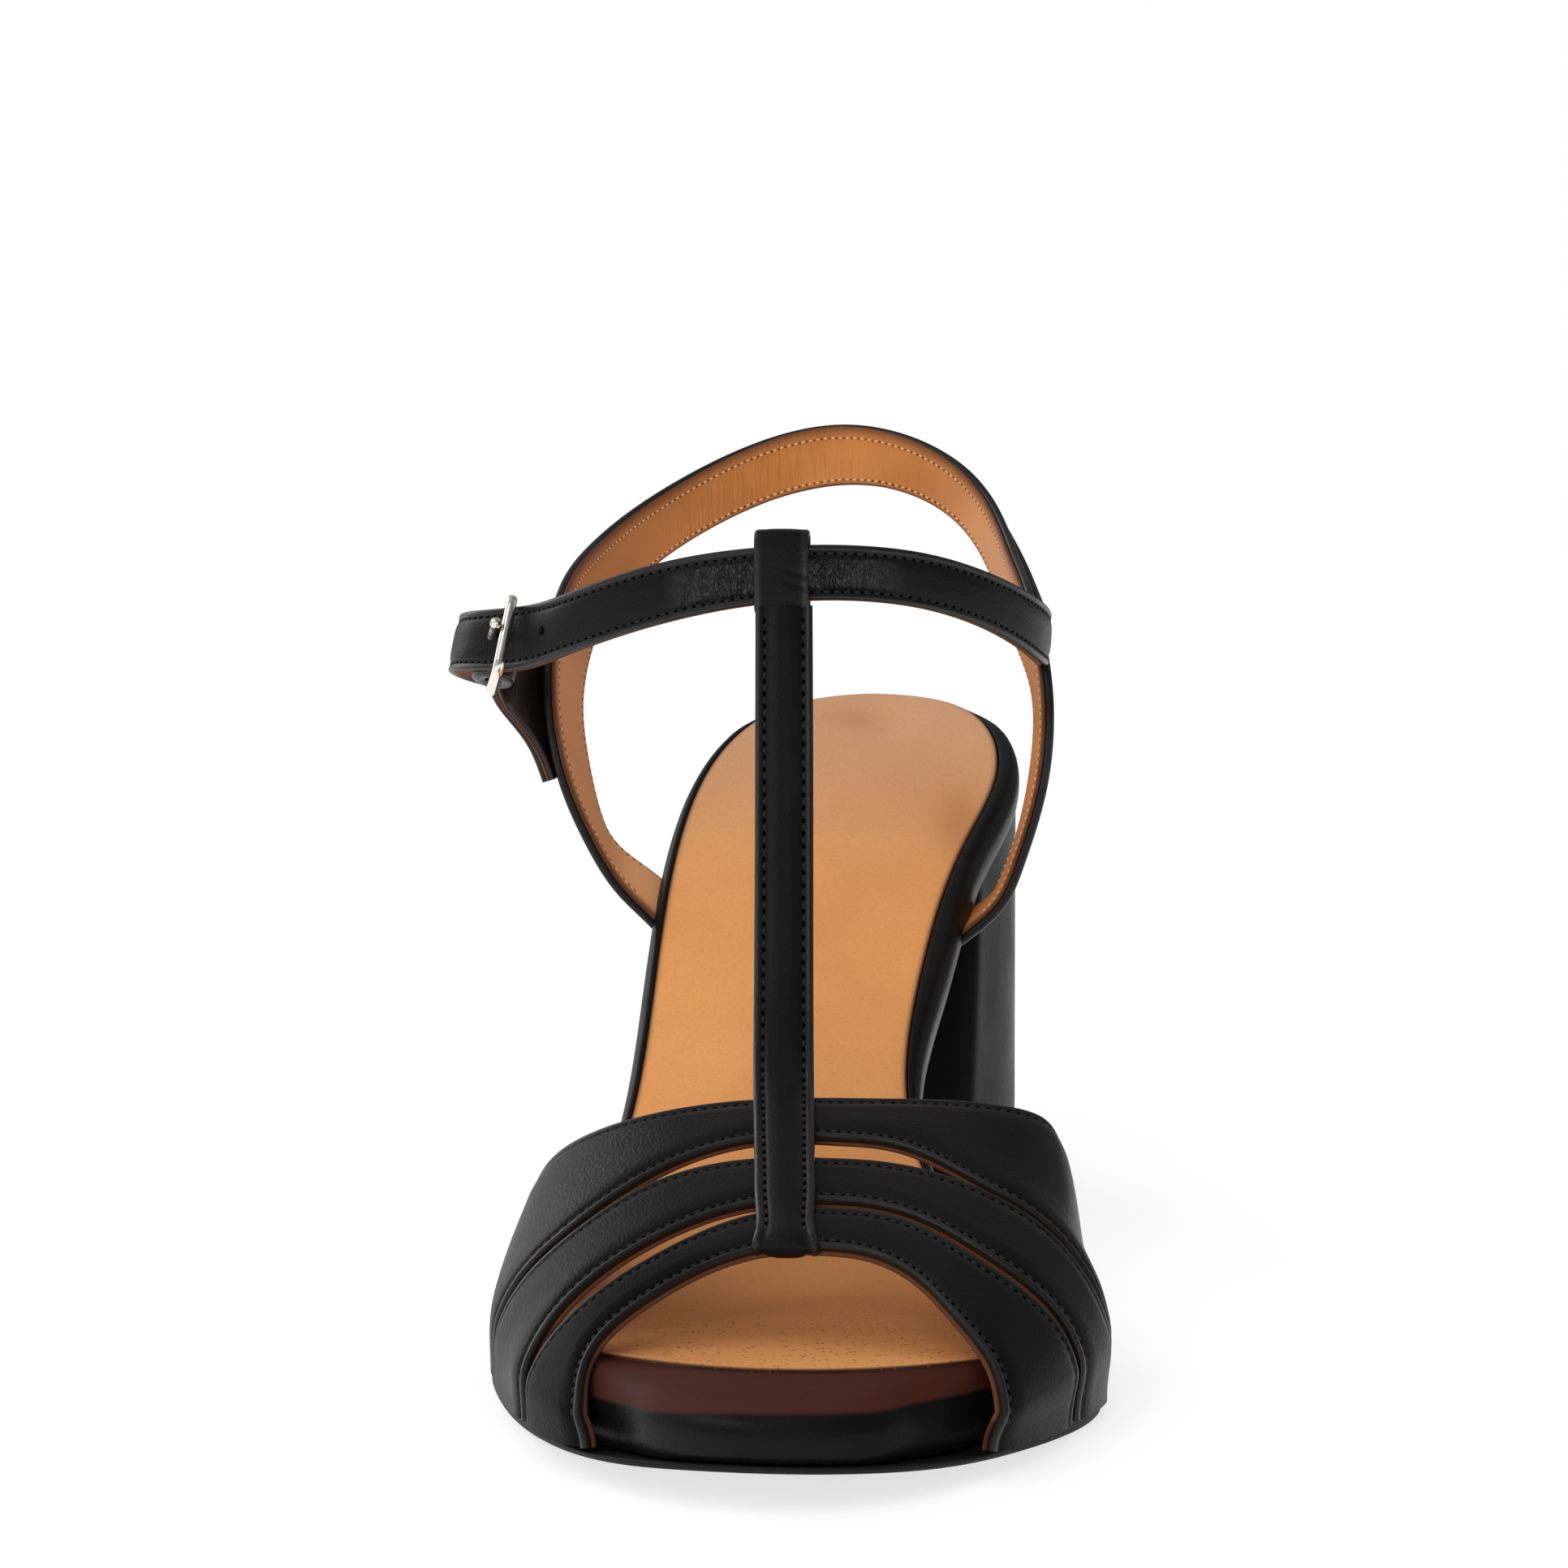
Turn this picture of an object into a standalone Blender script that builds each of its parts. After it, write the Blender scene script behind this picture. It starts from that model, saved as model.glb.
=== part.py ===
"""Heeled T-bar sandal for the right foot: sole, block heel, strap upper and buckle as separate solids.

All sizes are in millimetres on the axes of the last: X points to the inner (medial) side of the foot,
Y runs from the toe tip (0) to the back of the heel, and Z is up from the floor. The finished objects
are in metres, with the origin at the middle of the footprint, on the floor.
"""

import math

import bmesh
import bpy
import numpy as np

MM = 0.001
CLEARANCE = 0.3

# Bottom line of the last, side view
HEEL_BACK_Y = 221.9
SEAT_HEIGHT = 83.4
SEAT_SLOPE = 0.44
BALL_Y = 62.0
BALL_HEIGHT = 11.0
TOE_RISE = 3.0
TREAD_FRONT_Y = 48.0
TREAD_BACK_Y = 72.0
TREAD_LIFT_OFF = 14.0
TOE_SPRING = 4.4
WAIST_Y = 108.0
WAIST_THICKNESS = 8.0

# Layers of the bottom
OUTSOLE_THICKNESS = 2.4
OUTSOLE_LIP = 2.6
WAIST_LIP = 0.2
LIP_TAPER = (74.0, 112.0)
OUTSOLE_END_GAP = 0.7
SOCK_THICKNESS = 1.0
SOCK_BORDER = 2.0
SOCK_FRONT_Y = 16.3
SOCK_FRONT_BOW = 0.0165
TOE_ROLL_Y = 17.0
TOE_ROLL_DROP = 2.6
TOE_ROLL_SWELL = 1.5
TOE_ROLL_SWELL_SPAN = (4.0, 11.0)

# Block heel
BREAST_TOP_Y = 170.0
BREAST_BASE_Y = 166.0
LIFT_HEIGHT = 5.0
HEEL_BASE_FLARE = 1.2
HEEL_BACK_PITCH = 4.0
HEEL_INSET = 0.6

# Straps
STRAP_THICKNESS = 1.8
STRAP_FOOT_GAP = 0.1
BACK_STRAP_THICKNESS = 2.2
ANKLE_STRAP_THICKNESS = 1.8
BAR_WIDTH = 8.5
BAR_THICKNESS = 1.8
BAR_RAISE = 0.5
LOOP_WALL = 1.1
LOOP_PLAY = 1.0

# Outer edge of the footbed in plan, toe tip to heel tip down each side: x, y
LATERAL_EDGE = (
    (-7.6, 3.8),
    (-15.8, 7.6),
    (-22.2, 14.5),
    (-27.8, 24.1),
    (-33.4, 36.4),
    (-38.0, 50.0),
    (-40.8, 64.0),
    (-39.6, 78.0),
    (-35.8, 92.0),
    (-32.6, 108.0),
    (-31.4, 128.0),
    (-31.4, 150.0),
    (-30.6, 172.0),
    (-27.4, 192.0),
    (-20.4, 209.5),
    (-10.8, 220.4),
)
MEDIAL_EDGE = (
    (13.6, 4.9),
    (21.2, 10.8),
    (28.0, 22.7),
    (33.4, 35.3),
    (37.0, 48.0),
    (36.8, 59.0),
    (33.8, 70.0),
    (28.0, 81.0),
    (20.8, 93.0),
    (14.6, 107.0),
    (12.4, 126.0),
    (16.2, 148.0),
    (21.6, 171.0),
    (27.0, 191.0),
    (23.8, 208.0),
    (13.4, 220.4),
)
TOE_TIP = (3.0, 2.3)
HEEL_TIP = (0.8, 224.0)
EDGE_STEPS = 44
EDGE_SAMPLES = 600
EDGE_PROBE = 0.05

# Outer face of the foot form that carries the toe straps: a section every few millimetres of y
FORM_TOP_Y = 34.0
FORM_TOP_Z = 24.2
FORM_TOP_RISE = 0.375
FORM_TOP_BEND = 0.0006
FORM_CREST_X = 5.0
FORM_SECTIONS = np.array(
    # y, lateral width, medial width, lateral squareness, medial squareness
    [
        (8.0, 22.8, 23.4, 3.0, 3.0),
        (16.0, 28.6, 28.6, 3.0, 3.0),
        (28.0, 34.4, 34.4, 2.75, 2.85),
        (40.0, 38.6, 38.8, 2.5, 2.7),
        (52.0, 42.2, 41.8, 2.45, 2.65),
        (62.0, 43.8, 38.8, 2.5, 3.15),
        (74.0, 43.6, 36.7, 2.8, 5.0),
        (88.0, 41.4, 33.6, 3.2, 5.2),
    ]
)

# Front and rear edges of each toe strap, as y at an angle round the form (0 inner side, 180 outer side)
STRAP_ANGLES = (0.3, 22.0, 45.0, 67.0, 92.0, 115.0, 135.0, 155.0, 179.7)
TOE_STRAPS = {
    # name: front edge y at each angle, rear edge y at each angle
    "front": (
        (14.4, 16.0, 19.2, 25.2, 35.5, 28.2, 20.6, 13.9, 10.6),
        (34.9, 34.7, 34.5, 37.7, 44.3, 37.5, 31.2, 28.0, 28.6),
    ),
    "middle": (
        (36.6, 36.4, 36.4, 39.6, 46.1, 41.6, 35.8, 31.6, 30.4),
        (51.4, 49.0, 50.5, 53.0, 56.3, 54.8, 49.8, 49.2, 51.4),
    ),
    "rear": (
        (53.0, 50.6, 52.2, 54.7, 61.7, 59.2, 54.0, 53.0, 54.6),
        (80.0, 80.5, 78.0, 73.6, 72.0, 72.6, 76.0, 81.4, 84.6),
    ),
}

# Middle of the T-bar from the front strap to the ankle: x, y and height over the strap form or z in the air
BAR_FOOT = (-1.0, 34.6)
BAR_SEAT = (-4.0, 73.0)
BAR_AIR = ((-4.8, 84.0, 48.6), (-5.9, 100.0, 76.0), (-7.0, 114.7, 103.2))

# Back strap from the outer side of the sole, round the heel, to the inner side: front edge, rear edge
BACK_STRAP = np.array(
    # front x, front y, front z, rear x, rear y, rear z
    [
        (-32.3, 156.7, 51.3, -32.2, 168.0, 56.4),
        (-35.9, 156.0, 55.1, -37.3, 167.1, 60.3),
        (-40.8, 154.6, 63.0, -41.4, 166.2, 66.6),
        (-45.4, 152.8, 74.4, -43.4, 165.8, 75.6),
        (-47.6, 153.4, 88.0, -44.4, 166.6, 84.6),
        (-47.6, 161.6, 100.0, -43.8, 172.0, 92.4),
        (-44.2, 183.0, 110.4, -41.4, 189.0, 100.4),
        (-30.0, 206.4, 122.0, -29.4, 208.0, 111.2),
        (-4.5, 216.0, 130.6, -4.5, 216.2, 120.0),
        (17.4, 204.0, 123.0, 16.4, 206.4, 113.8),
        (25.6, 184.0, 110.2, 24.6, 189.4, 100.6),
        (29.6, 162.4, 100.4, 28.2, 172.4, 92.6),
        (31.9, 153.4, 87.6, 30.4, 166.4, 84.4),
        (31.3, 152.9, 74.6, 29.7, 165.8, 73.4),
        (27.4, 154.4, 60.5, 27.0, 166.4, 61.6),
        (24.8, 155.4, 54.5, 25.3, 167.0, 57.0),
        (19.3, 156.8, 49.0, 22.4, 167.6, 52.8),
    ]
)

# Ankle strap from its sewn end on the inner side, round the front, through the buckle to its tail
ANKLE_STRAP = np.array(
    # upper x, upper y, upper z, lower x, lower y, lower z
    [
        (24.0, 194.6, 115.4, 23.2, 198.0, 107.4),
        (27.4, 184.6, 109.6, 26.6, 189.0, 101.4),
        (31.4, 164.4, 101.8, 30.4, 169.0, 93.4),
        (31.4, 150.0, 101.6, 31.0, 151.0, 92.6),
        (26.7, 134.0, 105.8, 26.6, 134.4, 97.0),
        (14.0, 121.4, 110.9, 14.0, 121.6, 102.6),
        (-7.4, 116.5, 112.2, -7.4, 116.7, 103.8),
        (-28.0, 120.4, 109.0, -28.0, 120.8, 99.8),
        (-42.0, 128.8, 104.2, -42.4, 129.2, 94.8),
        (-48.8, 137.0, 102.2, -50.6, 135.6, 92.4),
        (-57.0, 143.0, 101.2, -59.4, 142.8, 91.8),
        (-60.6, 152.0, 100.0, -62.4, 152.0, 90.6),
        (-59.6, 165.0, 97.4, -60.2, 165.4, 88.2),
        (-56.4, 178.0, 94.6, -56.6, 178.4, 86.0),
    ]
)
ANKLE_FRONT_ROW = 6

# Buckle: a rectangular wire frame on the outer side, with its prong and the folded tab that holds it
FRAME_WIRE = 1.7
FRAME_LENGTH = 13.4
FRAME_DEPTH = 11.0
FRAME_FRONT = (-51.6, 134.0, 97.6)
FRAME_BACKWARD = (-0.20, 0.94, -0.27)
FRAME_OUTWARD = (-0.92, -0.30, 0.28)
FRAME_CORNER = 1.6
PRONG_WIRE = 1.3
PRONG_TIP = -1.3
PRONG_HOLE = 2.0
TAB_THICKNESS = 1.2
TAB_WIDTH = 8.6
TAB_SLOT = 2.2
TAB = np.array(
    # lower x, lower y, lower z, upper x, upper y, upper z: sewn end on the back strap up towards the bar
    [
        (-47.6, 153.0, 73.6, -45.9, 163.4, 75.0),
        (-50.2, 152.0, 79.8, -47.5, 162.4, 85.6),
        (-54.2, 148.6, 85.6, -50.4, 157.0, 95.0),
    ]
)

# Finish of each piece: colour, roughness, metallic
FINISHES = {
    "black_leather": ((0.012, 0.011, 0.012), 0.42, 0.0),
    "tan_leather": ((0.60, 0.30, 0.125), 0.55, 0.0),
    "black_rubber": ((0.010, 0.010, 0.010), 0.62, 0.0),
    "bright_metal": ((0.80, 0.78, 0.74), 0.18, 1.0),
}


# Curves and profiles


def smooth_step(value):
    """Rise from 0 to 1 with level ends."""
    t = np.clip(value, 0.0, 1.0)
    return t * t * (3.0 - 2.0 * t)


def spline_slopes(knots, rows, closed):
    """Slopes at the knots of the cubic spline through the rows."""
    count = len(knots)
    step = np.diff(knots)
    matrix = np.zeros((count, count))
    right = np.zeros((count, rows.shape[1]))
    for k in range(1, count - 1):
        before, after = step[k - 1], step[k]
        matrix[k, k - 1 : k + 2] = (after, 2 * (before + after), before)
        lean_in = (rows[k] - rows[k - 1]) / before
        lean_out = (rows[k + 1] - rows[k]) / after
        right[k] = 3 * (after * lean_in + before * lean_out)
    if closed:
        before, after = step[-1], step[0]
        matrix[0, [0, 1, count - 2]] = (2 * (before + after), before, after)
        lean_in = (rows[-1] - rows[-2]) / before
        lean_out = (rows[1] - rows[0]) / after
        right[0] = 3 * (after * lean_in + before * lean_out)
        matrix[-1, [0, count - 1]] = (1.0, -1.0)
    else:
        matrix[0, :2] = (2.0, 1.0)
        right[0] = 3 * (rows[1] - rows[0]) / step[0]
        matrix[-1, -2:] = (1.0, 2.0)
        right[-1] = 3 * (rows[-1] - rows[-2]) / step[-1]
    return np.linalg.solve(matrix, right)


def spline(knots, rows, at, closed=False):
    """Values of the cubic spline through the rows, read at the given places."""
    knots = np.asarray(knots, float)
    rows = np.asarray(rows, float).reshape(len(knots), -1)
    slopes = spline_slopes(knots, rows, closed)
    at = np.atleast_1d(np.asarray(at, float))
    cell = np.clip(np.searchsorted(knots, at, "right") - 1, 0, len(knots) - 2)
    width = (knots[cell + 1] - knots[cell])[:, None]
    t = (at - knots[cell])[:, None] / width
    start = (1 + 2 * t) * (1 - t) ** 2 * rows[cell] + t * (1 - t) ** 2 * width * slopes[cell]
    end = t * t * (3 - 2 * t) * rows[cell + 1] + t * t * (t - 1) * width * slopes[cell + 1]
    return start + end


def chord_knots(points):
    """Distance along a row of points."""
    return np.concatenate([[0.0], np.cumsum(np.linalg.norm(np.diff(points, axis=0), axis=1))])


def path_through(rows, count):
    """Evenly spaced rows along the smooth path through a table's rows."""
    rows = np.asarray(rows, float)
    knots = chord_knots(rows[:, :3])
    return spline(knots, rows, np.linspace(0.0, knots[-1], count))


def insole_height(y):
    """Height of the top of the insole along the last."""
    y = np.asarray(y, float)
    t = np.clip((y - BALL_Y) / (HEEL_BACK_Y - BALL_Y), 0.0, 1.02)
    rise = 3 * t**2 - 2 * t**3 + SEAT_SLOPE * (t**3 - t**2)
    toe = np.clip((BALL_Y - y) / BALL_Y, 0.0, None)
    return BALL_HEIGHT + (SEAT_HEIGHT - BALL_HEIGHT) * rise + TOE_RISE * toe**2


def tread_height(y):
    """Height of the underside of the outsole: sprung toe, flat tread, then the arch."""
    y = np.asarray(y, float)
    spring = TOE_SPRING * np.clip((TREAD_FRONT_Y - y) / TREAD_FRONT_Y, 0.0, None) ** 2
    tread_thickness = insole_height(TREAD_BACK_Y)
    blend = smooth_step((y - TREAD_BACK_Y) / (WAIST_Y - TREAD_BACK_Y))
    thickness = tread_thickness + (WAIST_THICKNESS - tread_thickness) * blend
    arch = insole_height(np.maximum(y, TREAD_BACK_Y)) - thickness
    return spring + arch * smooth_step((y - TREAD_BACK_Y) / TREAD_LIFT_OFF)


def outsole_top(y):
    """Height of the upper face of the outsole."""
    return tread_height(y) + OUTSOLE_THICKNESS


def sole_lip(y):
    """Width of the outsole beyond the footbed, tapering away behind the ball."""
    start, end = LIP_TAPER
    return OUTSOLE_LIP + (WAIST_LIP - OUTSOLE_LIP) * smooth_step((np.asarray(y, float) - start) / (end - start))


def footbed_bottom(y):
    """Height of the underside of the footbed."""
    return outsole_top(y) + CLEARANCE


def footbed_top(y):
    """Height of the footbed's upper face, falling away over the toe roll."""
    y = np.asarray(y, float)
    return insole_height(y) - TOE_ROLL_DROP * np.clip((TOE_ROLL_Y - y) / TOE_ROLL_Y, 0.0, None) ** 2


def toe_swell(y):
    """How far the padded toe roll swells out over the outsole, fading out before the front strap."""
    start, end = TOE_ROLL_SWELL_SPAN
    return TOE_ROLL_SWELL * (1 - smooth_step((np.asarray(y, float) - start) / (end - start)))


def heel_top(y):
    """Height of the upper face of the heel block under the seat."""
    return tread_height(y) + OUTSOLE_THICKNESS


# Plan outlines


def plan_edge(offset):
    """Outline of the footbed moved outwards by an amount or by a function of y: lateral side, medial side.

    Both sides have a point at the same places along the last, so a height that depends on y alone is
    level across every pair.
    """
    loop = np.array([TOE_TIP, *LATERAL_EDGE, HEEL_TIP, *reversed(MEDIAL_EDGE), TOE_TIP])
    knots = chord_knots(loop)
    heel_knot = knots[len(LATERAL_EDGE) + 1]
    share = np.linspace(0.0, 1.0, EDGE_SAMPLES)
    sides = []
    for places in (share * heel_knot, knots[-1] - share * (knots[-1] - heel_knot)):
        points = spline(knots, loop, places, closed=True)
        ahead = spline(knots, loop, np.minimum(places + EDGE_PROBE, knots[-1]), closed=True)
        behind = spline(knots, loop, np.maximum(places - EDGE_PROBE, 0.0), closed=True)
        along = ahead - behind
        along /= np.linalg.norm(along, axis=1)[:, None]
        outward = np.stack([along[:, 1], -along[:, 0]], axis=1) * outline_turn(loop)
        distance = offset(points[:, 1]) if callable(offset) else np.full(len(points), offset)
        sides.append(points + outward * distance[:, None])
    toe = (sides[0][0] + sides[1][0]) / 2
    heel = (sides[0][-1] + sides[1][-1]) / 2
    turn = np.linspace(0.0, math.pi, EDGE_STEPS + 1)
    front, back = TOE_TIP[1] - OUTSOLE_LIP, HEEL_TIP[1] + WAIST_LIP
    stations = np.clip(front + (back - front) * (1 - np.cos(turn)) / 2, toe[1], heel[1])
    even = []
    for side in sides:
        x = np.interp(stations, np.maximum.accumulate(side[:, 1]), side[:, 0])
        even.append(np.stack([x, stations], axis=1))
        even[-1][stations <= toe[1]] = toe
        even[-1][stations >= heel[1]] = heel
        even[-1][0] = toe
        even[-1][-1] = heel
    return even


def outline_turn(loop):
    """Sign that makes a left-hand normal point out of the loop."""
    x, y = loop[:-1, 0], loop[:-1, 1]
    area = np.sum(x * np.roll(y, -1) - y * np.roll(x, -1))
    return 1.0 if area > 0 else -1.0


def edge_x(side, y):
    """Sideways place of one side of an outline at a place along the last."""
    return np.interp(y, side[:, 1], side[:, 0])


# Mesh builders


def new_object(name, points, faces, finish):
    """One closed mesh object in metres with its finish."""
    mesh = bpy.data.meshes.new(name)
    mesh.from_pydata([tuple(p) for p in np.asarray(points) * MM], [], faces)
    work = bmesh.new()
    work.from_mesh(mesh)
    bmesh.ops.remove_doubles(work, verts=work.verts, dist=1e-7)
    bmesh.ops.recalc_face_normals(work, faces=work.faces)
    work.to_mesh(mesh)
    work.free()
    mesh.shade_smooth()
    mesh.set_sharp_from_angle(angle=math.radians(40))
    mesh.materials.append(material(finish))
    piece = bpy.data.objects.new(name, mesh)
    bpy.context.scene.collection.objects.link(piece)
    return piece


def material(finish):
    """Principled material of a named finish, made once."""
    found = bpy.data.materials.get(finish)
    if found:
        return found
    colour, roughness, metallic = FINISHES[finish]
    made = bpy.data.materials.new(finish)
    made.use_nodes = True
    shader = made.node_tree.nodes["Principled BSDF"]
    shader.inputs["Base Color"].default_value = (*colour, 1.0)
    shader.inputs["Roughness"].default_value = roughness
    shader.inputs["Metallic"].default_value = metallic
    return made


def helper(piece):
    """Marks an object as a cutter or a joined piece that isn't a node."""
    piece.hide_render = True
    piece.display_type = "WIRE"
    return piece


def boolean(piece, other, operation):
    """Joins, cuts or trims a piece with a helper."""
    modifier = piece.modifiers.new(operation.lower(), "BOOLEAN")
    modifier.operation = operation
    modifier.solver = "EXACT"
    modifier.object = helper(other)


def layered_solid(name, layers, finish):
    """Solid from outlines stacked bottom to top, each layer an offset and a height function."""
    points, faces, rings = [], [], []
    for offset, height in layers:
        lateral, medial = plan_edge(offset)
        loop = np.vstack([lateral, medial[-2:0:-1]])
        rings.append(len(points))
        points += [(x, y, z) for (x, y), z in zip(loop, height(loop[:, 1]))]
    size = len(points) // len(layers)
    for low, high in zip(rings, rings[1:]):
        for k in range(size):
            after = (k + 1) % size
            faces.append((low + k, low + after, high + after, high + k))
    for first in (rings[0], rings[-1]):
        faces += ladder(first, size)
    return new_object(name, points, faces, finish)


def ladder(first, size):
    """Faces across a loop whose two sides run from a shared toe point to a shared heel point."""
    half = size // 2
    faces = [(first, first + 1, first + size - 1)]
    for k in range(1, half - 1):
        faces.append((first + k, first + k + 1, first + size - k - 1, first + size - k))
    faces.append((first + half - 1, first + half, first + half + 1))
    return faces


def grid_shell(name, outer, inner, finish):
    """Closed wall between two grids of points."""
    rows, columns = outer.shape[:2]
    points = np.vstack([outer.reshape(-1, 3), inner.reshape(-1, 3)])
    under = rows * columns
    faces = []

    def at(i, j):
        return i * columns + j

    for i in range(rows - 1):
        for j in range(columns - 1):
            quad = (at(i, j), at(i + 1, j), at(i + 1, j + 1), at(i, j + 1))
            faces.append(quad)
            faces.append(tuple(under + k for k in reversed(quad)))
    for i in range(rows - 1):
        for j in (0, columns - 1):
            faces.append((at(i, j), at(i + 1, j), under + at(i + 1, j), under + at(i, j)))
    for j in range(columns - 1):
        for i in (0, rows - 1):
            faces.append((at(i, j), at(i, j + 1), under + at(i, j + 1), under + at(i, j)))
    return new_object(name, points, faces, finish)


def grid_normals(grid):
    """Unit normals of a grid of points."""
    along = np.gradient(grid, axis=0)
    across = np.gradient(grid, axis=1)
    normal = np.cross(along, across)
    return normal / np.linalg.norm(normal, axis=2)[:, :, None]


def band_grid(rows, count, columns):
    """Grid across a strap from a table of its two edges."""
    path = path_through(rows, count)
    share = np.linspace(0.0, 1.0, columns)[None, :, None]
    return path[:, None, :3] * (1 - share) + path[:, None, 3:] * share


def band(name, rows, thickness, count, finish, columns=3):
    """Strap of even thickness on both sides of the surface between its two edges."""
    grid = band_grid(rows, count, columns)
    normal = grid_normals(grid) * thickness / 2
    return grid_shell(name, grid + normal, grid - normal, finish)


def prism(name, outline, low, high):
    """Upright prism over a plan outline."""
    count = len(outline)
    points = [(x, y, z) for z in (low, high) for x, y in outline]
    faces = [tuple(range(count)), tuple(range(count, 2 * count))]
    for k in range(count):
        after = (k + 1) % count
        faces.append((k, after, count + after, count + k))
    return new_object(name, points, faces, "black_leather")


# Bottom: outsole, footbed, insole sock, heel and its top piece


def build_outsole():
    """Thin sole from the toe to the breast of the heel."""
    bottom_inset = 0.5
    piece = layered_solid(
        "outsole",
        [
            (lambda y: sole_lip(y) - bottom_inset, tread_height),
            (sole_lip, lambda y: tread_height(y) + OUTSOLE_THICKNESS * 0.4),
            (sole_lip, outsole_top),
        ],
        "black_rubber",
    )
    behind = BREAST_TOP_Y - OUTSOLE_END_GAP
    far = HEEL_BACK_Y * 1.2
    outline = [(-far, behind), (far, behind), (far, far), (-far, far)]
    boolean(piece, prism("outsole_end_cut", outline, -10.0, far), "DIFFERENCE")
    return piece


def toe_cut(name, gap):
    """Prism in front of the bowed front edge of the insole sock."""
    across = np.linspace(-60.0, 60.0, 25)
    bow = [(x, SOCK_FRONT_Y - gap + SOCK_FRONT_BOW * x * x) for x in across]
    return prism(name, [*bow, (60.0, -40.0), (-60.0, -40.0)], -20.0, 60.0)


def build_insole_sock():
    """Thin sock let into the footbed, stopping short of the toe."""
    piece = layered_solid(
        "insole_sock",
        [
            (-SOCK_BORDER, lambda y: insole_height(y) - SOCK_THICKNESS),
            (-SOCK_BORDER, insole_height),
        ],
        "tan_leather",
    )
    boolean(piece, toe_cut("sock_front_cut", 0.0), "DIFFERENCE")
    return piece


def build_footbed():
    """Wrapped footbed with a rounded edge, a rolled toe and a recess for the sock."""
    edge_round = 1.5

    def between(share):
        return lambda y: footbed_bottom(y) * (1 - share) + footbed_top(y) * share

    piece = layered_solid(
        "footbed",
        [
            (-edge_round, footbed_bottom),
            (lambda y: toe_swell(y) - 0.3 * edge_round, between(0.16)),
            (toe_swell, between(0.5)),
            (lambda y: toe_swell(y) - 0.35 * edge_round, between(0.84)),
            (-1.15 * edge_round, footbed_top),
        ],
        "black_leather",
    )
    above = 30.0
    recess = layered_solid(
        "sock_recess",
        [
            (CLEARANCE - SOCK_BORDER, lambda y: insole_height(y) - SOCK_THICKNESS - CLEARANCE),
            (CLEARANCE - SOCK_BORDER, lambda y: insole_height(y) + above),
        ],
        "black_leather",
    )
    boolean(recess, toe_cut("recess_front_cut", CLEARANCE), "DIFFERENCE")
    boolean(piece, recess, "DIFFERENCE")
    return piece


def heel_outline(height_share, inset):
    """Plan of the heel block: round back and straight breast, from base (0) to seat (1)."""
    lateral, medial = plan_edge(-inset)
    breast = BREAST_BASE_Y + (BREAST_TOP_Y - BREAST_BASE_Y) * height_share
    steps = 12
    flare = HEEL_BASE_FLARE * (1 - height_share) ** 1.6
    pitch = HEEL_BACK_PITCH * (1 - height_share)
    turn = np.linspace(0.0, math.pi / 2, steps)
    halves = []
    for side, sign in ((lateral, -1.0), (medial, 1.0)):
        y = BREAST_TOP_Y + (side[-1, 1] - BREAST_TOP_Y) * np.sin(turn)
        x = edge_x(side, y)
        back_share = (y - BREAST_TOP_Y) / (side[-1, 1] - BREAST_TOP_Y)
        lean = sign * flare * (4.2 * back_share * (1 - back_share) - 1.6 * (1 - back_share))
        moved = breast + (y - BREAST_TOP_Y) * (side[-1, 1] - pitch - breast) / (side[-1, 1] - BREAST_TOP_Y)
        halves.append(np.stack([x + lean, moved], axis=1))
    return np.vstack([halves[0], halves[1][-2::-1]])


def build_heel():
    """Wrapped block heel, flared a little towards the floor."""
    shares = (0.0, 0.25, 0.5, 0.75, 1.0)
    points, faces = [], []
    base = LIFT_HEIGHT + CLEARANCE
    for share in shares:
        loop = heel_outline(share, HEEL_INSET)
        top = heel_top(loop[:, 1])
        points += [(x, y, base + (z - base) * share) for (x, y), z in zip(loop, top)]
    size = len(points) // len(shares)
    for level in range(len(shares) - 1):
        low, high = level * size, (level + 1) * size
        for k in range(size):
            after = (k + 1) % size
            faces.append((low + k, low + after, high + after, high + k))
    faces.append(tuple(range(size)))
    faces += cross_faces((len(shares) - 1) * size, size)
    return new_object("heel", points, faces, "black_leather")


def cross_faces(first, size):
    """Faces across a heel outline, breast to back."""
    half = size // 2
    faces = []
    for k in range(half - 1):
        faces.append((first + k, first + k + 1, first + size - k - 2, first + size - k - 1))
    faces.append((first + half - 1, first + half, first + half + 1))
    return faces


def build_heel_lift():
    """Rubber top piece under the heel, flat on the floor."""
    loop = heel_outline(0.0, HEEL_INSET + 0.2)
    shrunk = loop.mean(axis=0) + (loop - loop.mean(axis=0)) * 0.985
    count = len(loop)
    points = [(x, y, 0.0) for x, y in shrunk]
    points += [(x, y, 0.7) for x, y in loop]
    points += [(x, y, LIFT_HEIGHT) for x, y in loop]
    faces = [tuple(range(count)), tuple(range(2 * count, 3 * count))]
    for low in (0, count):
        for k in range(count):
            after = (k + 1) % count
            faces.append((low + k, low + after, low + count + after, low + count + k))
    return new_object("heel_lift", points, faces, "black_rubber")


# Upper front: three toe straps and the T-bar


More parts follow.
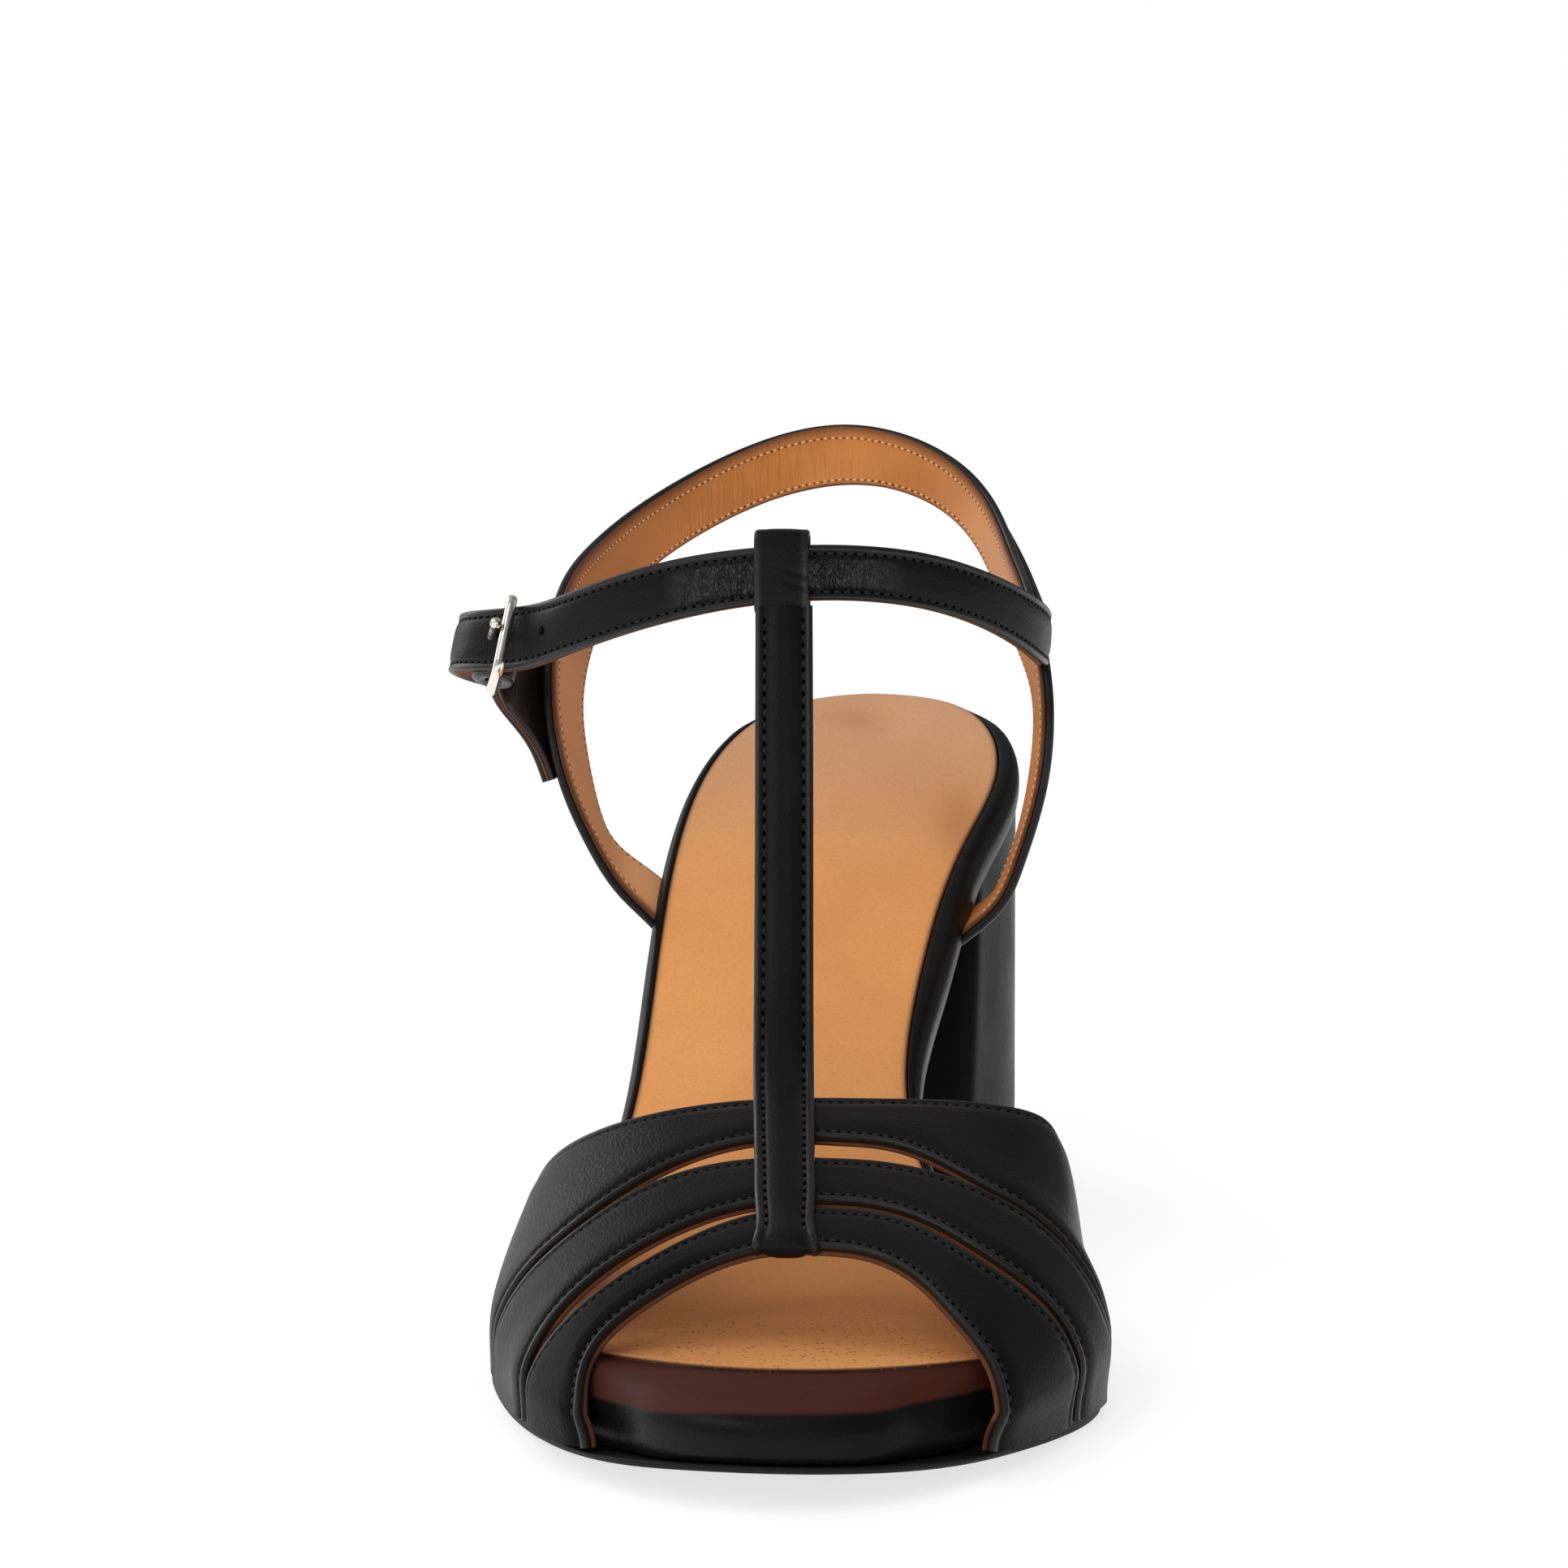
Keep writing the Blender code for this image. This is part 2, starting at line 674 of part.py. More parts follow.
def form_point(y, angle):
    """Point on the outside of the foot form at a place along it and an angle round it in degrees."""
    y, angle = np.broadcast_arrays(np.asarray(y, float), np.radians(angle))
    shape = y.shape
    section = spline(FORM_SECTIONS[:, 0], FORM_SECTIONS[:, 1:], y.ravel())
    columns = [section[:, k].reshape(shape) for k in range(4)]
    lateral, medial, lateral_square, medial_square = columns
    cosine = np.cos(angle)
    sine = np.clip(np.sin(angle), 0.0, 1.0)
    inner = cosine >= 0
    width = np.where(inner, medial - FORM_CREST_X, lateral + FORM_CREST_X)
    square = np.where(inner, medial_square, lateral_square)
    x = FORM_CREST_X + np.sign(cosine) * width * np.abs(cosine) ** (2 / square)
    low = outsole_top(y) + STRAP_FOOT_GAP
    z = low + (form_top(y) - low) * sine ** (2 / square)
    return np.stack([x, y, z], axis=-1)


def form_top(y):
    """Height of the crest of the foot form."""
    ahead = np.asarray(y, float) - FORM_TOP_Y
    return FORM_TOP_Z + FORM_TOP_RISE * ahead - FORM_TOP_BEND * ahead**2


def toe_strap(name):
    """One toe strap lying on the foot form, from the outsole on one side to the other."""
    front, rear = TOE_STRAPS[name]
    angles = np.linspace(STRAP_ANGLES[0], STRAP_ANGLES[-1], 45)
    edges = spline(STRAP_ANGLES, np.stack([front, rear], axis=1), angles)
    share = np.linspace(0.0, 1.0, 4)
    y = edges[:, :1] * (1 - share) + edges[:, 1:] * share
    outer = form_point(y, np.broadcast_to(angles[:, None], y.shape))
    inward = grid_normals(outer)
    middle = np.array([FORM_CREST_X, 0.0, 8.0])
    facing = np.sum(inward * (middle - outer) * (1, 0, 1), axis=2, keepdims=True)
    inward *= np.sign(facing)
    return grid_shell(f"{name}_toe_strap", outer, outer + inward * STRAP_THICKNESS, "black_leather")


def bar_path():
    """Middle line of the T-bar from the front strap's edge up to the ankle strap."""
    seat = []
    for share in np.linspace(0.0, 1.0, 6):
        x = BAR_FOOT[0] + (BAR_SEAT[0] - BAR_FOOT[0]) * share
        y = BAR_FOOT[1] + (BAR_SEAT[1] - BAR_FOOT[1]) * share
        seat.append((x, y, float(form_top(y)) + BAR_RAISE))
    return np.array([*seat, *BAR_AIR])


def build_upper_front():
    """Three toe straps joined by the T-bar, with the loop for the ankle strap at its top."""
    middle = bar_path()
    half = np.array([BAR_WIDTH / 2, 0.0, 0.0])
    rows = np.hstack([middle - half, middle + half])
    piece = band("upper_front", rows, BAR_THICKNESS, 28, "black_leather")
    for name in TOE_STRAPS:
        boolean(piece, toe_strap(name), "UNION")
    boolean(piece, ankle_loop(), "UNION")
    return piece


def ankle_loop():
    """Tunnel round the ankle strap: a rounded ring as wide as the T-bar."""
    upper = ANKLE_STRAP[ANKLE_FRONT_ROW, :3]
    lower = ANKLE_STRAP[ANKLE_FRONT_ROW, 3:]
    centre = (upper + lower) / 2
    inner_depth = ANKLE_STRAP_THICKNESS / 2 + LOOP_PLAY
    inner_height = np.linalg.norm(upper - lower) / 2 + LOOP_PLAY
    points, faces = [], []
    corners = 16
    sides = (-BAR_WIDTH / 2, BAR_WIDTH / 2)
    for x in sides:
        for wall in (0.0, LOOP_WALL):
            for k in range(corners):
                turn = 2 * math.pi * (k + 0.5) / corners
                y = (inner_depth + wall) * rounded(math.cos(turn), 0.35)
                z = (inner_height + wall) * rounded(math.sin(turn), 0.35)
                points.append((centre[0] + x, centre[1] + y, centre[2] + z))
    for k in range(corners):
        after = (k + 1) % corners
        near_in, near_out, far_in, far_out = (n * corners for n in range(4))
        faces.append((near_in + k, near_in + after, near_out + after, near_out + k))
        faces.append((far_in + k, far_in + after, far_out + after, far_out + k))
        faces.append((near_out + k, near_out + after, far_out + after, far_out + k))
        faces.append((near_in + k, near_in + after, far_in + after, far_in + k))
    return new_object("ankle_loop", points, faces, "black_leather")


def rounded(value, power):
    """Signed power that squares up a circle's corners."""
    return math.copysign(abs(value) ** power, value)


# Upper rear: back strap and ankle strap, and the buckle on the outer side


def build_upper_rear():
    """Back strap round the heel with the ankle strap sewn on its inner-side run."""
    piece = band("upper_rear", BACK_STRAP, BACK_STRAP_THICKNESS, 72, "black_leather")
    boolean(piece, band("ankle_strap", ANKLE_STRAP, ANKLE_STRAP_THICKNESS, 64, "black_leather"), "UNION")
    hole = [frame_point(back, 0.0, prong_lift(back)) for back in np.linspace(2.0, 9.6, 5)]
    boolean(piece, tube("prong_hole", hole, PRONG_HOLE, False, "black_leather"), "DIFFERENCE")
    return piece


def frame_axes():
    """Unit axes of the buckle: backward along the strap, outward from the foot, and down its bars."""
    backward = np.array(FRAME_BACKWARD) / np.linalg.norm(FRAME_BACKWARD)
    outward = np.array(FRAME_OUTWARD) - backward * np.dot(FRAME_OUTWARD, backward)
    outward /= np.linalg.norm(outward)
    return backward, outward, np.cross(outward, backward)


def frame_point(back, down, out=0.0):
    """Point in the buckle's own axes, from the middle of its front bar."""
    backward, outward, downward = frame_axes()
    return np.array(FRAME_FRONT) + backward * back + downward * down + outward * out


def tube(name, path, wire, closed, finish, across=None, sides=8):
    """Round wire along a path of points; across is a direction that the path never runs along."""
    path = np.asarray(path, float)
    count = len(path)
    if closed:
        along = np.roll(path, -1, axis=0) - np.roll(path, 1, axis=0)
    else:
        along = np.gradient(path, axis=0)
    along /= np.linalg.norm(along, axis=1)[:, None]
    side = np.cross(along, frame_axes()[1] if across is None else across)
    side /= np.linalg.norm(side, axis=1)[:, None]
    lift = np.cross(side, along)
    points, faces = [], []
    for p, s, u in zip(path, side, lift):
        for k in range(sides):
            turn = 2 * math.pi * k / sides
            points.append(p + (s * math.cos(turn) + u * math.sin(turn)) * wire / 2)
    for i in range(count if closed else count - 1):
        low, high = i * sides, (i + 1) % count * sides
        for k in range(sides):
            after = (k + 1) % sides
            faces.append((low + k, low + after, high + after, high + k))
    if not closed:
        faces.append(tuple(range(sides)))
        faces.append(tuple(range((count - 1) * sides, count * sides)))
    return new_object(name, points, faces, finish)


def build_buckle_frame():
    """Rectangular wire frame with rounded corners."""
    path = []
    half = FRAME_LENGTH / 2
    corners = ((0.0, -half), (FRAME_DEPTH, -half), (FRAME_DEPTH, half), (0.0, half))
    for k, (back, down) in enumerate(corners):
        start = math.pi * (1.0 + 0.5 * k)
        middle_back = back + FRAME_CORNER * (1 if back == 0.0 else -1)
        middle_down = down + FRAME_CORNER * (1 if down < 0 else -1)
        for step in range(4):
            turn = start + 0.5 * math.pi * step / 3
            path.append(
                frame_point(
                    middle_back + FRAME_CORNER * math.cos(turn),
                    middle_down + FRAME_CORNER * math.sin(turn),
                )
            )
    return tube("buckle_frame", path, FRAME_WIRE, True, "bright_metal")


def prong_turn():
    """Radius of the prong's eye round the hinge bar."""
    return FRAME_WIRE / 2 + CLEARANCE + PRONG_WIRE / 2


def prong_lift(back):
    """Height of the prong's middle over the frame's plane, from its eye to its rest on the front bar."""
    rest = (FRAME_WIRE + PRONG_WIRE) / 2 + CLEARANCE
    return rest + (prong_turn() - rest) * back / FRAME_DEPTH


def build_buckle_prong():
    """Prong: one wire turned round the hinge bar and laid over the front bar."""
    turns = np.radians(np.linspace(-190.0, 90.0, 15))
    path = [
        frame_point(FRAME_DEPTH + prong_turn() * math.cos(t), 0.0, prong_turn() * math.sin(t)) for t in turns
    ]
    path += [frame_point(back, 0.0, prong_lift(back)) for back in np.linspace(FRAME_DEPTH - 2.0, PRONG_TIP, 6)]
    return tube("buckle_prong", path, PRONG_WIRE, False, "bright_metal", frame_axes()[2])


def build_buckle_tab():
    """Folded tab sewn on the back strap, with a sleeve round the buckle's hinge bar."""
    bore = FRAME_WIRE / 2 + CLEARANCE
    outer = bore + TAB_THICKNESS
    half = TAB_WIDTH / 2
    reach = FRAME_DEPTH + bore + TAB_THICKNESS / 2
    hinge = [*frame_point(reach, half, -0.4), *frame_point(reach, -half, -0.4)]
    piece = band("buckle_tab", np.vstack([TAB, hinge]), TAB_THICKNESS, 16, "black_leather")
    sleeve_ends = [frame_point(FRAME_DEPTH, down) for down in (-half, 0.0, half)]
    boolean(piece, tube("tab_sleeve", sleeve_ends, 2 * outer, False, "black_leather", sides=16), "UNION")
    bore_ends = [frame_point(FRAME_DEPTH, down) for down in (-TAB_WIDTH, 0.0, TAB_WIDTH)]
    boolean(piece, tube("tab_bore", bore_ends, 2 * bore, False, "black_leather", sides=16), "DIFFERENCE")
    slot_ends = [frame_point(FRAME_DEPTH, down) for down in (-TAB_SLOT / 2, 0.0, TAB_SLOT / 2)]
    slot_width = 2 * (prong_turn() + PRONG_WIRE / 2 + CLEARANCE)
    boolean(piece, tube("tab_slot", slot_ends, slot_width, False, "black_leather", sides=16), "DIFFERENCE")
    return piece


def build_all():
    """Builds every piece and returns the nodes."""
    nodes = [build_outsole(), build_footbed(), build_insole_sock(), build_heel(), build_heel_lift()]
    nodes += [build_upper_front(), build_upper_rear()]
    nodes += [build_buckle_frame(), build_buckle_prong(), build_buckle_tab()]
    return nodes


def stand_on_origin(nodes):
    """Moves everything so that the origin is under the middle of the nodes' box, on the floor."""
    bpy.context.view_layer.update()
    graph = bpy.context.evaluated_depsgraph_get()
    corners = []
    for node in nodes:
        shape = node.evaluated_get(graph)
        corners += [shape.matrix_world @ vertex.co for vertex in shape.data.vertices]
    low = [min(c[k] for c in corners) for k in range(3)]
    high = [max(c[k] for c in corners) for k in range(3)]
    shift = ((low[0] + high[0]) / 2, (low[1] + high[1]) / 2, low[2])
    for piece in bpy.data.objects:
        for vertex in piece.data.vertices:
            vertex.co.x -= shift[0]
            vertex.co.y -= shift[1]
            vertex.co.z -= shift[2]


def main():
    """Clears the scene and models the sandal."""
    for old in list(bpy.data.objects):
        bpy.data.objects.remove(old, do_unlink=True)
    stand_on_origin(build_all())


main()
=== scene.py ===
"""Looks of a heeled T-bar sandal for the right foot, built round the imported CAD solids.

Sizes are in millimetres on the axes of the last: X points to the inner side of the foot, Y runs from the
toe tip to the back of the heel, and Z is up from the floor. Row places each mesh in the row frame in metres.
"""

import logging
import math
from collections.abc import Callable, Sequence
from dataclasses import dataclass, field, replace
from enum import Enum

import bmesh
import bpy
import numpy as np
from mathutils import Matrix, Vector


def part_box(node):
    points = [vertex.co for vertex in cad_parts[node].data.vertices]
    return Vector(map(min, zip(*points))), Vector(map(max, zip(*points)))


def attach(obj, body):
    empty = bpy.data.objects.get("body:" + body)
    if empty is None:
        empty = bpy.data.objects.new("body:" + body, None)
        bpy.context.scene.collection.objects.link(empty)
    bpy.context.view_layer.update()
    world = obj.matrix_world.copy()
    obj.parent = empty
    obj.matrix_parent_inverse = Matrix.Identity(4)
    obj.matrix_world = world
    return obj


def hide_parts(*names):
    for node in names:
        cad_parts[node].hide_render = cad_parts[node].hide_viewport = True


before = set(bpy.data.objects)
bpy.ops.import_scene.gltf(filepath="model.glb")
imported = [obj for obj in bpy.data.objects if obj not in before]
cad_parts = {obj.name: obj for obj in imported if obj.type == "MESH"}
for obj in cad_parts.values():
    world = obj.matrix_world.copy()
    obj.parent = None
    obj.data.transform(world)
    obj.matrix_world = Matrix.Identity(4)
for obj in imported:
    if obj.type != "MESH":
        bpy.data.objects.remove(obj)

MM = 0.001
BODY = "root"
PHOTO_PIXELS = 1932
# Spread in millimetres of the soft edge of the painted reflection and painted shade.
REFLECTION_AND_SHADE_SPREAD = 8.0
log = logging.getLogger("sandal")

Array = np.ndarray
Pair = tuple[float, float]
Triple = tuple[float, float, float]
Table = tuple[tuple[float, ...], ...]
Faces = list[tuple[int, ...]]
Marks = dict[str, Array]
Reading = Callable[[Array], Array]
Relief = Callable[[Array, Array, Array], Array]
Marker = Callable[[Array, Array, Array], Marks]
Material = bpy.types.Material
Node = bpy.types.Node
Socket = bpy.types.NodeSocket
Piece = bpy.types.Object


class Slot(Enum):
    """Material slots of the pieces."""

    BLACK_LEATHER = "black_leather"
    TAN_LEATHER = "tan_leather"
    BLACK_RUBBER = "black_rubber"
    BRIGHT_METAL = "bright_metal"


class StrapEdge(Enum):
    """The two long edges of a strap, in the order of its table."""

    FIRST = 0
    SECOND = 1


# Curves


def smooth_step(value: Array | float) -> Array:
    """Rise from 0 to 1 with level ends."""
    t = np.clip(value, 0.0, 1.0)
    return t * t * (3.0 - 2.0 * t)


def ramp(value: Array | float, start: float, end: float) -> Array:
    """Smooth rise from 0 at the start to 1 at the end, on whichever side the end lies."""
    return smooth_step((np.asarray(value, float) - start) / (end - start))


def hump(value: Array, middle: float, width: float) -> Array:
    """Soft bump of height 1 round a place."""
    return np.exp(-(((value - middle) / width) ** 2))


def patches(x: Array, y: Array, table: Table) -> Array:
    """Sum of soft patches, each a place in x and y, a reach in x and y, and a weight."""
    return sum(w * hump(x, at_x, wide) * hump(y, at_y, deep) for at_x, at_y, wide, deep, w in table)


def unit(vectors: Array) -> Array:
    """Vectors scaled to length 1."""
    return vectors / np.maximum(np.linalg.norm(vectors, axis=-1, keepdims=True), 1e-9)


def spline_slopes(knots: Array, rows: Array, closed: bool) -> Array:
    """Slopes at the knots of the cubic spline through rows of values.

    Args:
        knots: Place of each row along the curve.
        rows: One row of values for each knot.
        closed: True for a loop whose last row repeats the first.

    Returns:
        One row of slopes for each knot.
    """
    count = len(knots)
    step = np.diff(knots)
    matrix = np.zeros((count, count))
    right = np.zeros((count, rows.shape[1]))
    for k in range(1, count - 1):
        before, after = step[k - 1], step[k]
        matrix[k, k - 1 : k + 2] = (after, 2 * (before + after), before)
        lean_in = (rows[k] - rows[k - 1]) / before
        lean_out = (rows[k + 1] - rows[k]) / after
        right[k] = 3 * (after * lean_in + before * lean_out)
    if closed:
        before, after = step[-1], step[0]
        matrix[0, [0, 1, count - 2]] = (2 * (before + after), before, after)
        lean_in = (rows[-1] - rows[-2]) / before
        lean_out = (rows[1] - rows[0]) / after
        right[0] = 3 * (after * lean_in + before * lean_out)
        matrix[-1, [0, count - 1]] = (1.0, -1.0)
    else:
        matrix[0, :2] = (2.0, 1.0)
        right[0] = 3 * (rows[1] - rows[0]) / step[0]
        matrix[-1, -2:] = (1.0, 2.0)
        right[-1] = 3 * (rows[-1] - rows[-2]) / step[-1]
    return np.linalg.solve(matrix, right)


def spline(knots: Sequence[float], rows: Array, at: Array, closed: bool = False) -> Array:
    """Values of the cubic spline through rows of values.

    Args:
        knots: Place of each row along the curve.
        rows: One row of values for each knot.
        at: Places to read.
        closed: True for a loop whose last row repeats the first.

    Returns:
        One row of values for each place.
    """
    knots = np.asarray(knots, float)
    rows = np.asarray(rows, float).reshape(len(knots), -1)
    slopes = spline_slopes(knots, rows, closed)
    at = np.atleast_1d(np.asarray(at, float))
    cell = np.clip(np.searchsorted(knots, at, "right") - 1, 0, len(knots) - 2)
    width = (knots[cell + 1] - knots[cell])[:, None]
    t = (at - knots[cell])[:, None] / width
    start = (1 + 2 * t) * (1 - t) ** 2 * rows[cell] + t * (1 - t) ** 2 * width * slopes[cell]
    end = t * t * (3 - 2 * t) * rows[cell + 1] + t * t * (t - 1) * width * slopes[cell + 1]
    return start + end


def chord_knots(points: Array) -> Array:
    """Distance along a row of points."""
    return np.concatenate([[0.0], np.cumsum(np.linalg.norm(np.diff(points, axis=0), axis=1))])


def read_along(knots: Array, rows: Array, at: Array) -> Array:
    """Rows of three numbers read at distances along a path."""
    return np.stack([np.interp(at, knots, rows[:, k]) for k in range(3)], axis=1)


def path_through(rows: Sequence[Sequence[float]], count: int) -> Array:
    """Evenly spaced rows along the smooth path through a table's rows."""
    table = np.asarray(rows, float)
    knots = chord_knots(table[:, :3])
    return spline(knots, table, np.linspace(0.0, knots[-1], count))


def even_loop(loop: Array, count: int) -> Array:
    """Closed loop with a number of evenly spaced points, keeping its first."""
    ring = np.vstack([loop, loop[:1]])
    knots = chord_knots(ring)
    return read_along(knots, ring, np.linspace(0.0, knots[-1], count, endpoint=False))


# The last


@dataclass
class LastShape:
    """Bottom line, plan and toe form of the last."""

    heel_back_y: float = 221.9
    seat_height: float = 83.4
    seat_slope: float = 0.44
    ball_y: float = 62.0
    ball_height: float = 11.0
    toe_rise: float = 3.0
    tread_front_y: float = 48.0
    tread_back_y: float = 72.0
    tread_lift_off: float = 14.0
    toe_spring: float = 4.4
    waist_y: float = 108.0
    waist_thickness: float = 8.0
    outsole_thickness: float = 2.4
    outsole_lip: float = 2.6
    waist_lip: float = -0.9
    lip_taper: Pair = (74.0, 112.0)
    clearance: float = 0.3
    toe_roll_y: float = 17.0
    toe_roll_drop: float = 2.6
    strap_foot_gap: float = -1.3
    inner_foot_tuck: float = 1.4
    outer_foot_tuck: float = 0.8
    foot_tuck_reach: float = 0.24
    form_top_y: float = 34.0
    form_top_z: float = 24.2
    form_top_rise: float = 0.375
    form_top_bend: float = 0.0006
    form_crest_x: float = 5.0
    toe_tip: Pair = (3.0, 2.3)
    heel_tip: Pair = (0.8, 224.0)
    lateral_edge: Table = (
        (-7.6, 3.8), (-15.8, 7.6), (-22.2, 14.5), (-27.8, 24.1),
        (-33.4, 36.4), (-38.0, 50.0), (-40.8, 64.0), (-39.6, 78.0),
        (-35.8, 92.0), (-32.6, 108.0), (-31.4, 128.0), (-31.4, 150.0),
        (-30.6, 172.0), (-27.4, 192.0), (-20.4, 209.5), (-10.8, 220.4),
    )
    medial_edge: Table = (
        (12.8, 6.2), (19.4, 12.8), (26.4, 24.0), (32.7, 35.7),
        (37.0, 48.0), (36.8, 59.0), (33.8, 70.0), (28.0, 81.0),
        (20.8, 93.0), (15.5, 107.0), (13.5, 126.0), (17.0, 148.0),
        (21.6, 171.0), (27.0, 191.0), (23.8, 208.0), (13.4, 220.4),
    )
    form_sections: Table = (
        (8.0, 22.8, 23.4, 3.0, 3.0),
        (16.0, 28.6, 28.6, 3.0, 3.0),
        (28.0, 34.4, 34.8, 2.75, 2.85),
        (40.0, 38.6, 39.3, 2.5, 2.7),
        (52.0, 42.2, 41.8, 2.45, 2.65),
        (62.0, 43.7, 38.8, 2.48, 3.15),
        (74.0, 43.2, 36.7, 2.8, 4.8),
        (88.0, 41.2, 33.6, 3.2, 4.8),
    )

    def insole_height(self, y: Array) -> Array:
        """Height of the top of the insole along the last."""
        y = np.asarray(y, float)
        t = np.clip((y - self.ball_y) / (self.heel_back_y - self.ball_y), 0.0, 1.02)
        rise = 3 * t**2 - 2 * t**3 + self.seat_slope * (t**3 - t**2)
        toe = np.clip((self.ball_y - y) / self.ball_y, 0.0, None)
        return self.ball_height + (self.seat_height - self.ball_height) * rise + self.toe_rise * toe**2

    def tread_height(self, y: Array) -> Array:
        """Height of the underside of the outsole: sprung toe, flat tread, then the arch."""
        y = np.asarray(y, float)
        spring = self.toe_spring * np.clip((self.tread_front_y - y) / self.tread_front_y, 0.0, None) ** 2
        tread = self.insole_height(self.tread_back_y)
        blend = ramp(y, self.tread_back_y, self.waist_y)
        thickness = tread + (self.waist_thickness - tread) * blend
        arch = self.insole_height(np.maximum(y, self.tread_back_y)) - thickness
        return spring + arch * ramp(y, self.tread_back_y, self.tread_back_y + self.tread_lift_off)

    def outsole_top(self, y: Array) -> Array:
        """Height of the upper face of the outsole."""
        return self.tread_height(y) + self.outsole_thickness

    def footbed_top(self, y: Array) -> Array:
        """Height of the footbed's upper face, falling away over the toe roll."""
        y = np.asarray(y, float)
        ahead = np.clip((self.toe_roll_y - y) / self.toe_roll_y, 0.0, None)
        return self.insole_height(y) - self.toe_roll_drop * ahead**2

    def sole_lip(self, y: Array) -> Array:
        """Width of the outsole beyond the footbed, tapering away behind the ball."""
        return self.outsole_lip + (self.waist_lip - self.outsole_lip) * ramp(y, *self.lip_taper)

    def sides(self, offset: Reading | float, share: Array) -> tuple[Array, Array]:
        """Plan edge of the footbed moved outwards.

        Args:
            offset: Distance outwards, or a function of y that gives it.
            share: Places from the toe tip (0) to the heel tip (1) along each side.

        Returns:
            Points of the lateral side and of the medial side.
        """
        probe = 0.05
        toe, heel = self.toe_tip, self.heel_tip
        loop = np.array([toe, *self.lateral_edge, heel, *reversed(self.medial_edge), toe])
        knots = chord_knots(loop)
        heel_knot = knots[len(self.lateral_edge) + 1]
        found = []
        for places in (share * heel_knot, knots[-1] - share * (knots[-1] - heel_knot)):
            points = spline(knots, loop, places, closed=True)
            ahead = spline(knots, loop, np.minimum(places + probe, knots[-1]), closed=True)
            behind = spline(knots, loop, np.maximum(places - probe, 0.0), closed=True)
            along = unit(ahead - behind)
            outward = np.stack([-along[:, 1], along[:, 0]], axis=1)
            distance = offset(points[:, 1]) if callable(offset) else np.full(len(points), offset)
            found.append(points + outward * distance[:, None])
        for end in (0, -1):
            if share[end] in (0.0, 1.0):
                middle = (found[0][end] + found[1][end]) / 2
                found[0][end] = found[1][end] = middle
        return found[0], found[1]

    def share_at(self, y: float) -> Pair:
        """Places of a y along the lateral side and the medial side of the footbed's edge."""
        share = np.linspace(0.0, 1.0, 3001)
        lateral, medial = self.sides(0.0, share)
        return tuple(float(np.interp(y, np.maximum.accumulate(s[:, 1]), share)) for s in (lateral, medial))

    def form_top(self, y: Array) -> Array:
        """Height of the crest of the toe form."""
        ahead = np.asarray(y, float) - self.form_top_y
        return self.form_top_z + self.form_top_rise * ahead - self.form_top_bend * ahead**2

    def form_point(self, y: Array, degrees: Array) -> Array:
        """Points on the outside of the toe form.

        Args:
            y: Places along the last.
            degrees: Angles round the form, 0 on the inner side and 180 on the outer side.

        Returns:
            Points with the shape of the arguments.
        """
        y, angle = np.broadcast_arrays(np.asarray(y, float), np.radians(degrees))
        table = np.array(self.form_sections)
        section = spline(table[:, 0], table[:, 1:], y.ravel())
        lateral, medial, lateral_square, medial_square = (section[:, k].reshape(y.shape) for k in range(4))
        cosine = np.cos(angle)
        sine = np.clip(np.sin(angle), 0.0, 1.0)
        inner = cosine >= 0
        width = np.where(inner, medial - self.form_crest_x, lateral + self.form_crest_x)
        square = np.where(inner, medial_square, lateral_square)
        foot_tuck = np.where(inner, self.inner_foot_tuck, self.outer_foot_tuck)
        tuck = foot_tuck * (1 - ramp(sine, 0.0, self.foot_tuck_reach))
        x = self.form_crest_x + np.sign(cosine) * (width * np.abs(cosine) ** (2 / square) - tuck)
        low = self.outsole_top(y) + self.strap_foot_gap
        z = low + (self.form_top(y) - low) * sine ** (2 / square)
        return np.stack([x, y, z], axis=-1)


class Row:
    """Place of the last's axes in the row frame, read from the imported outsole."""

    def __init__(self, last: LastShape) -> None:
        """Compares the outsole's box with the same edge on the last's axes."""
        lateral, medial = last.sides(last.sole_lip, np.linspace(0.0, 1.0, 2001))
        low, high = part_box("outsole")
        ours = np.array([lateral[:, 0].min() + medial[:, 0].max(), 2 * lateral[0, 1]]) / 2
        theirs = np.array([(low.x + high.x) / 2, low.y]) / MM
        self.shift = np.array([*(theirs - ours), 0.0])

    def metres(self, points: Array) -> Array:
        """Points on the last's axes as points of the row frame."""
        return (np.asarray(points, float) + self.shift) * MM


# Materials


def add_node(tree: bpy.types.NodeTree, kind: str, inputs: dict | None = None, **settings: object) -> Node:
    """Adds a node to a tree.

    Args:
        tree: Tree of a material, the world or Geometry Nodes.
        kind: Type name of the node.
        inputs: Values or sockets for its inputs, by name or number.
        settings: Properties of the node.

    Returns:
        The node.
    """
    made = tree.nodes.new(kind)
    for key, value in settings.items():
        setattr(made, key, value)
    for key, value in (inputs or {}).items():
        if isinstance(value, Socket):
            tree.links.new(value, made.inputs[key])
        else:
            made.inputs[key].default_value = value
    return made


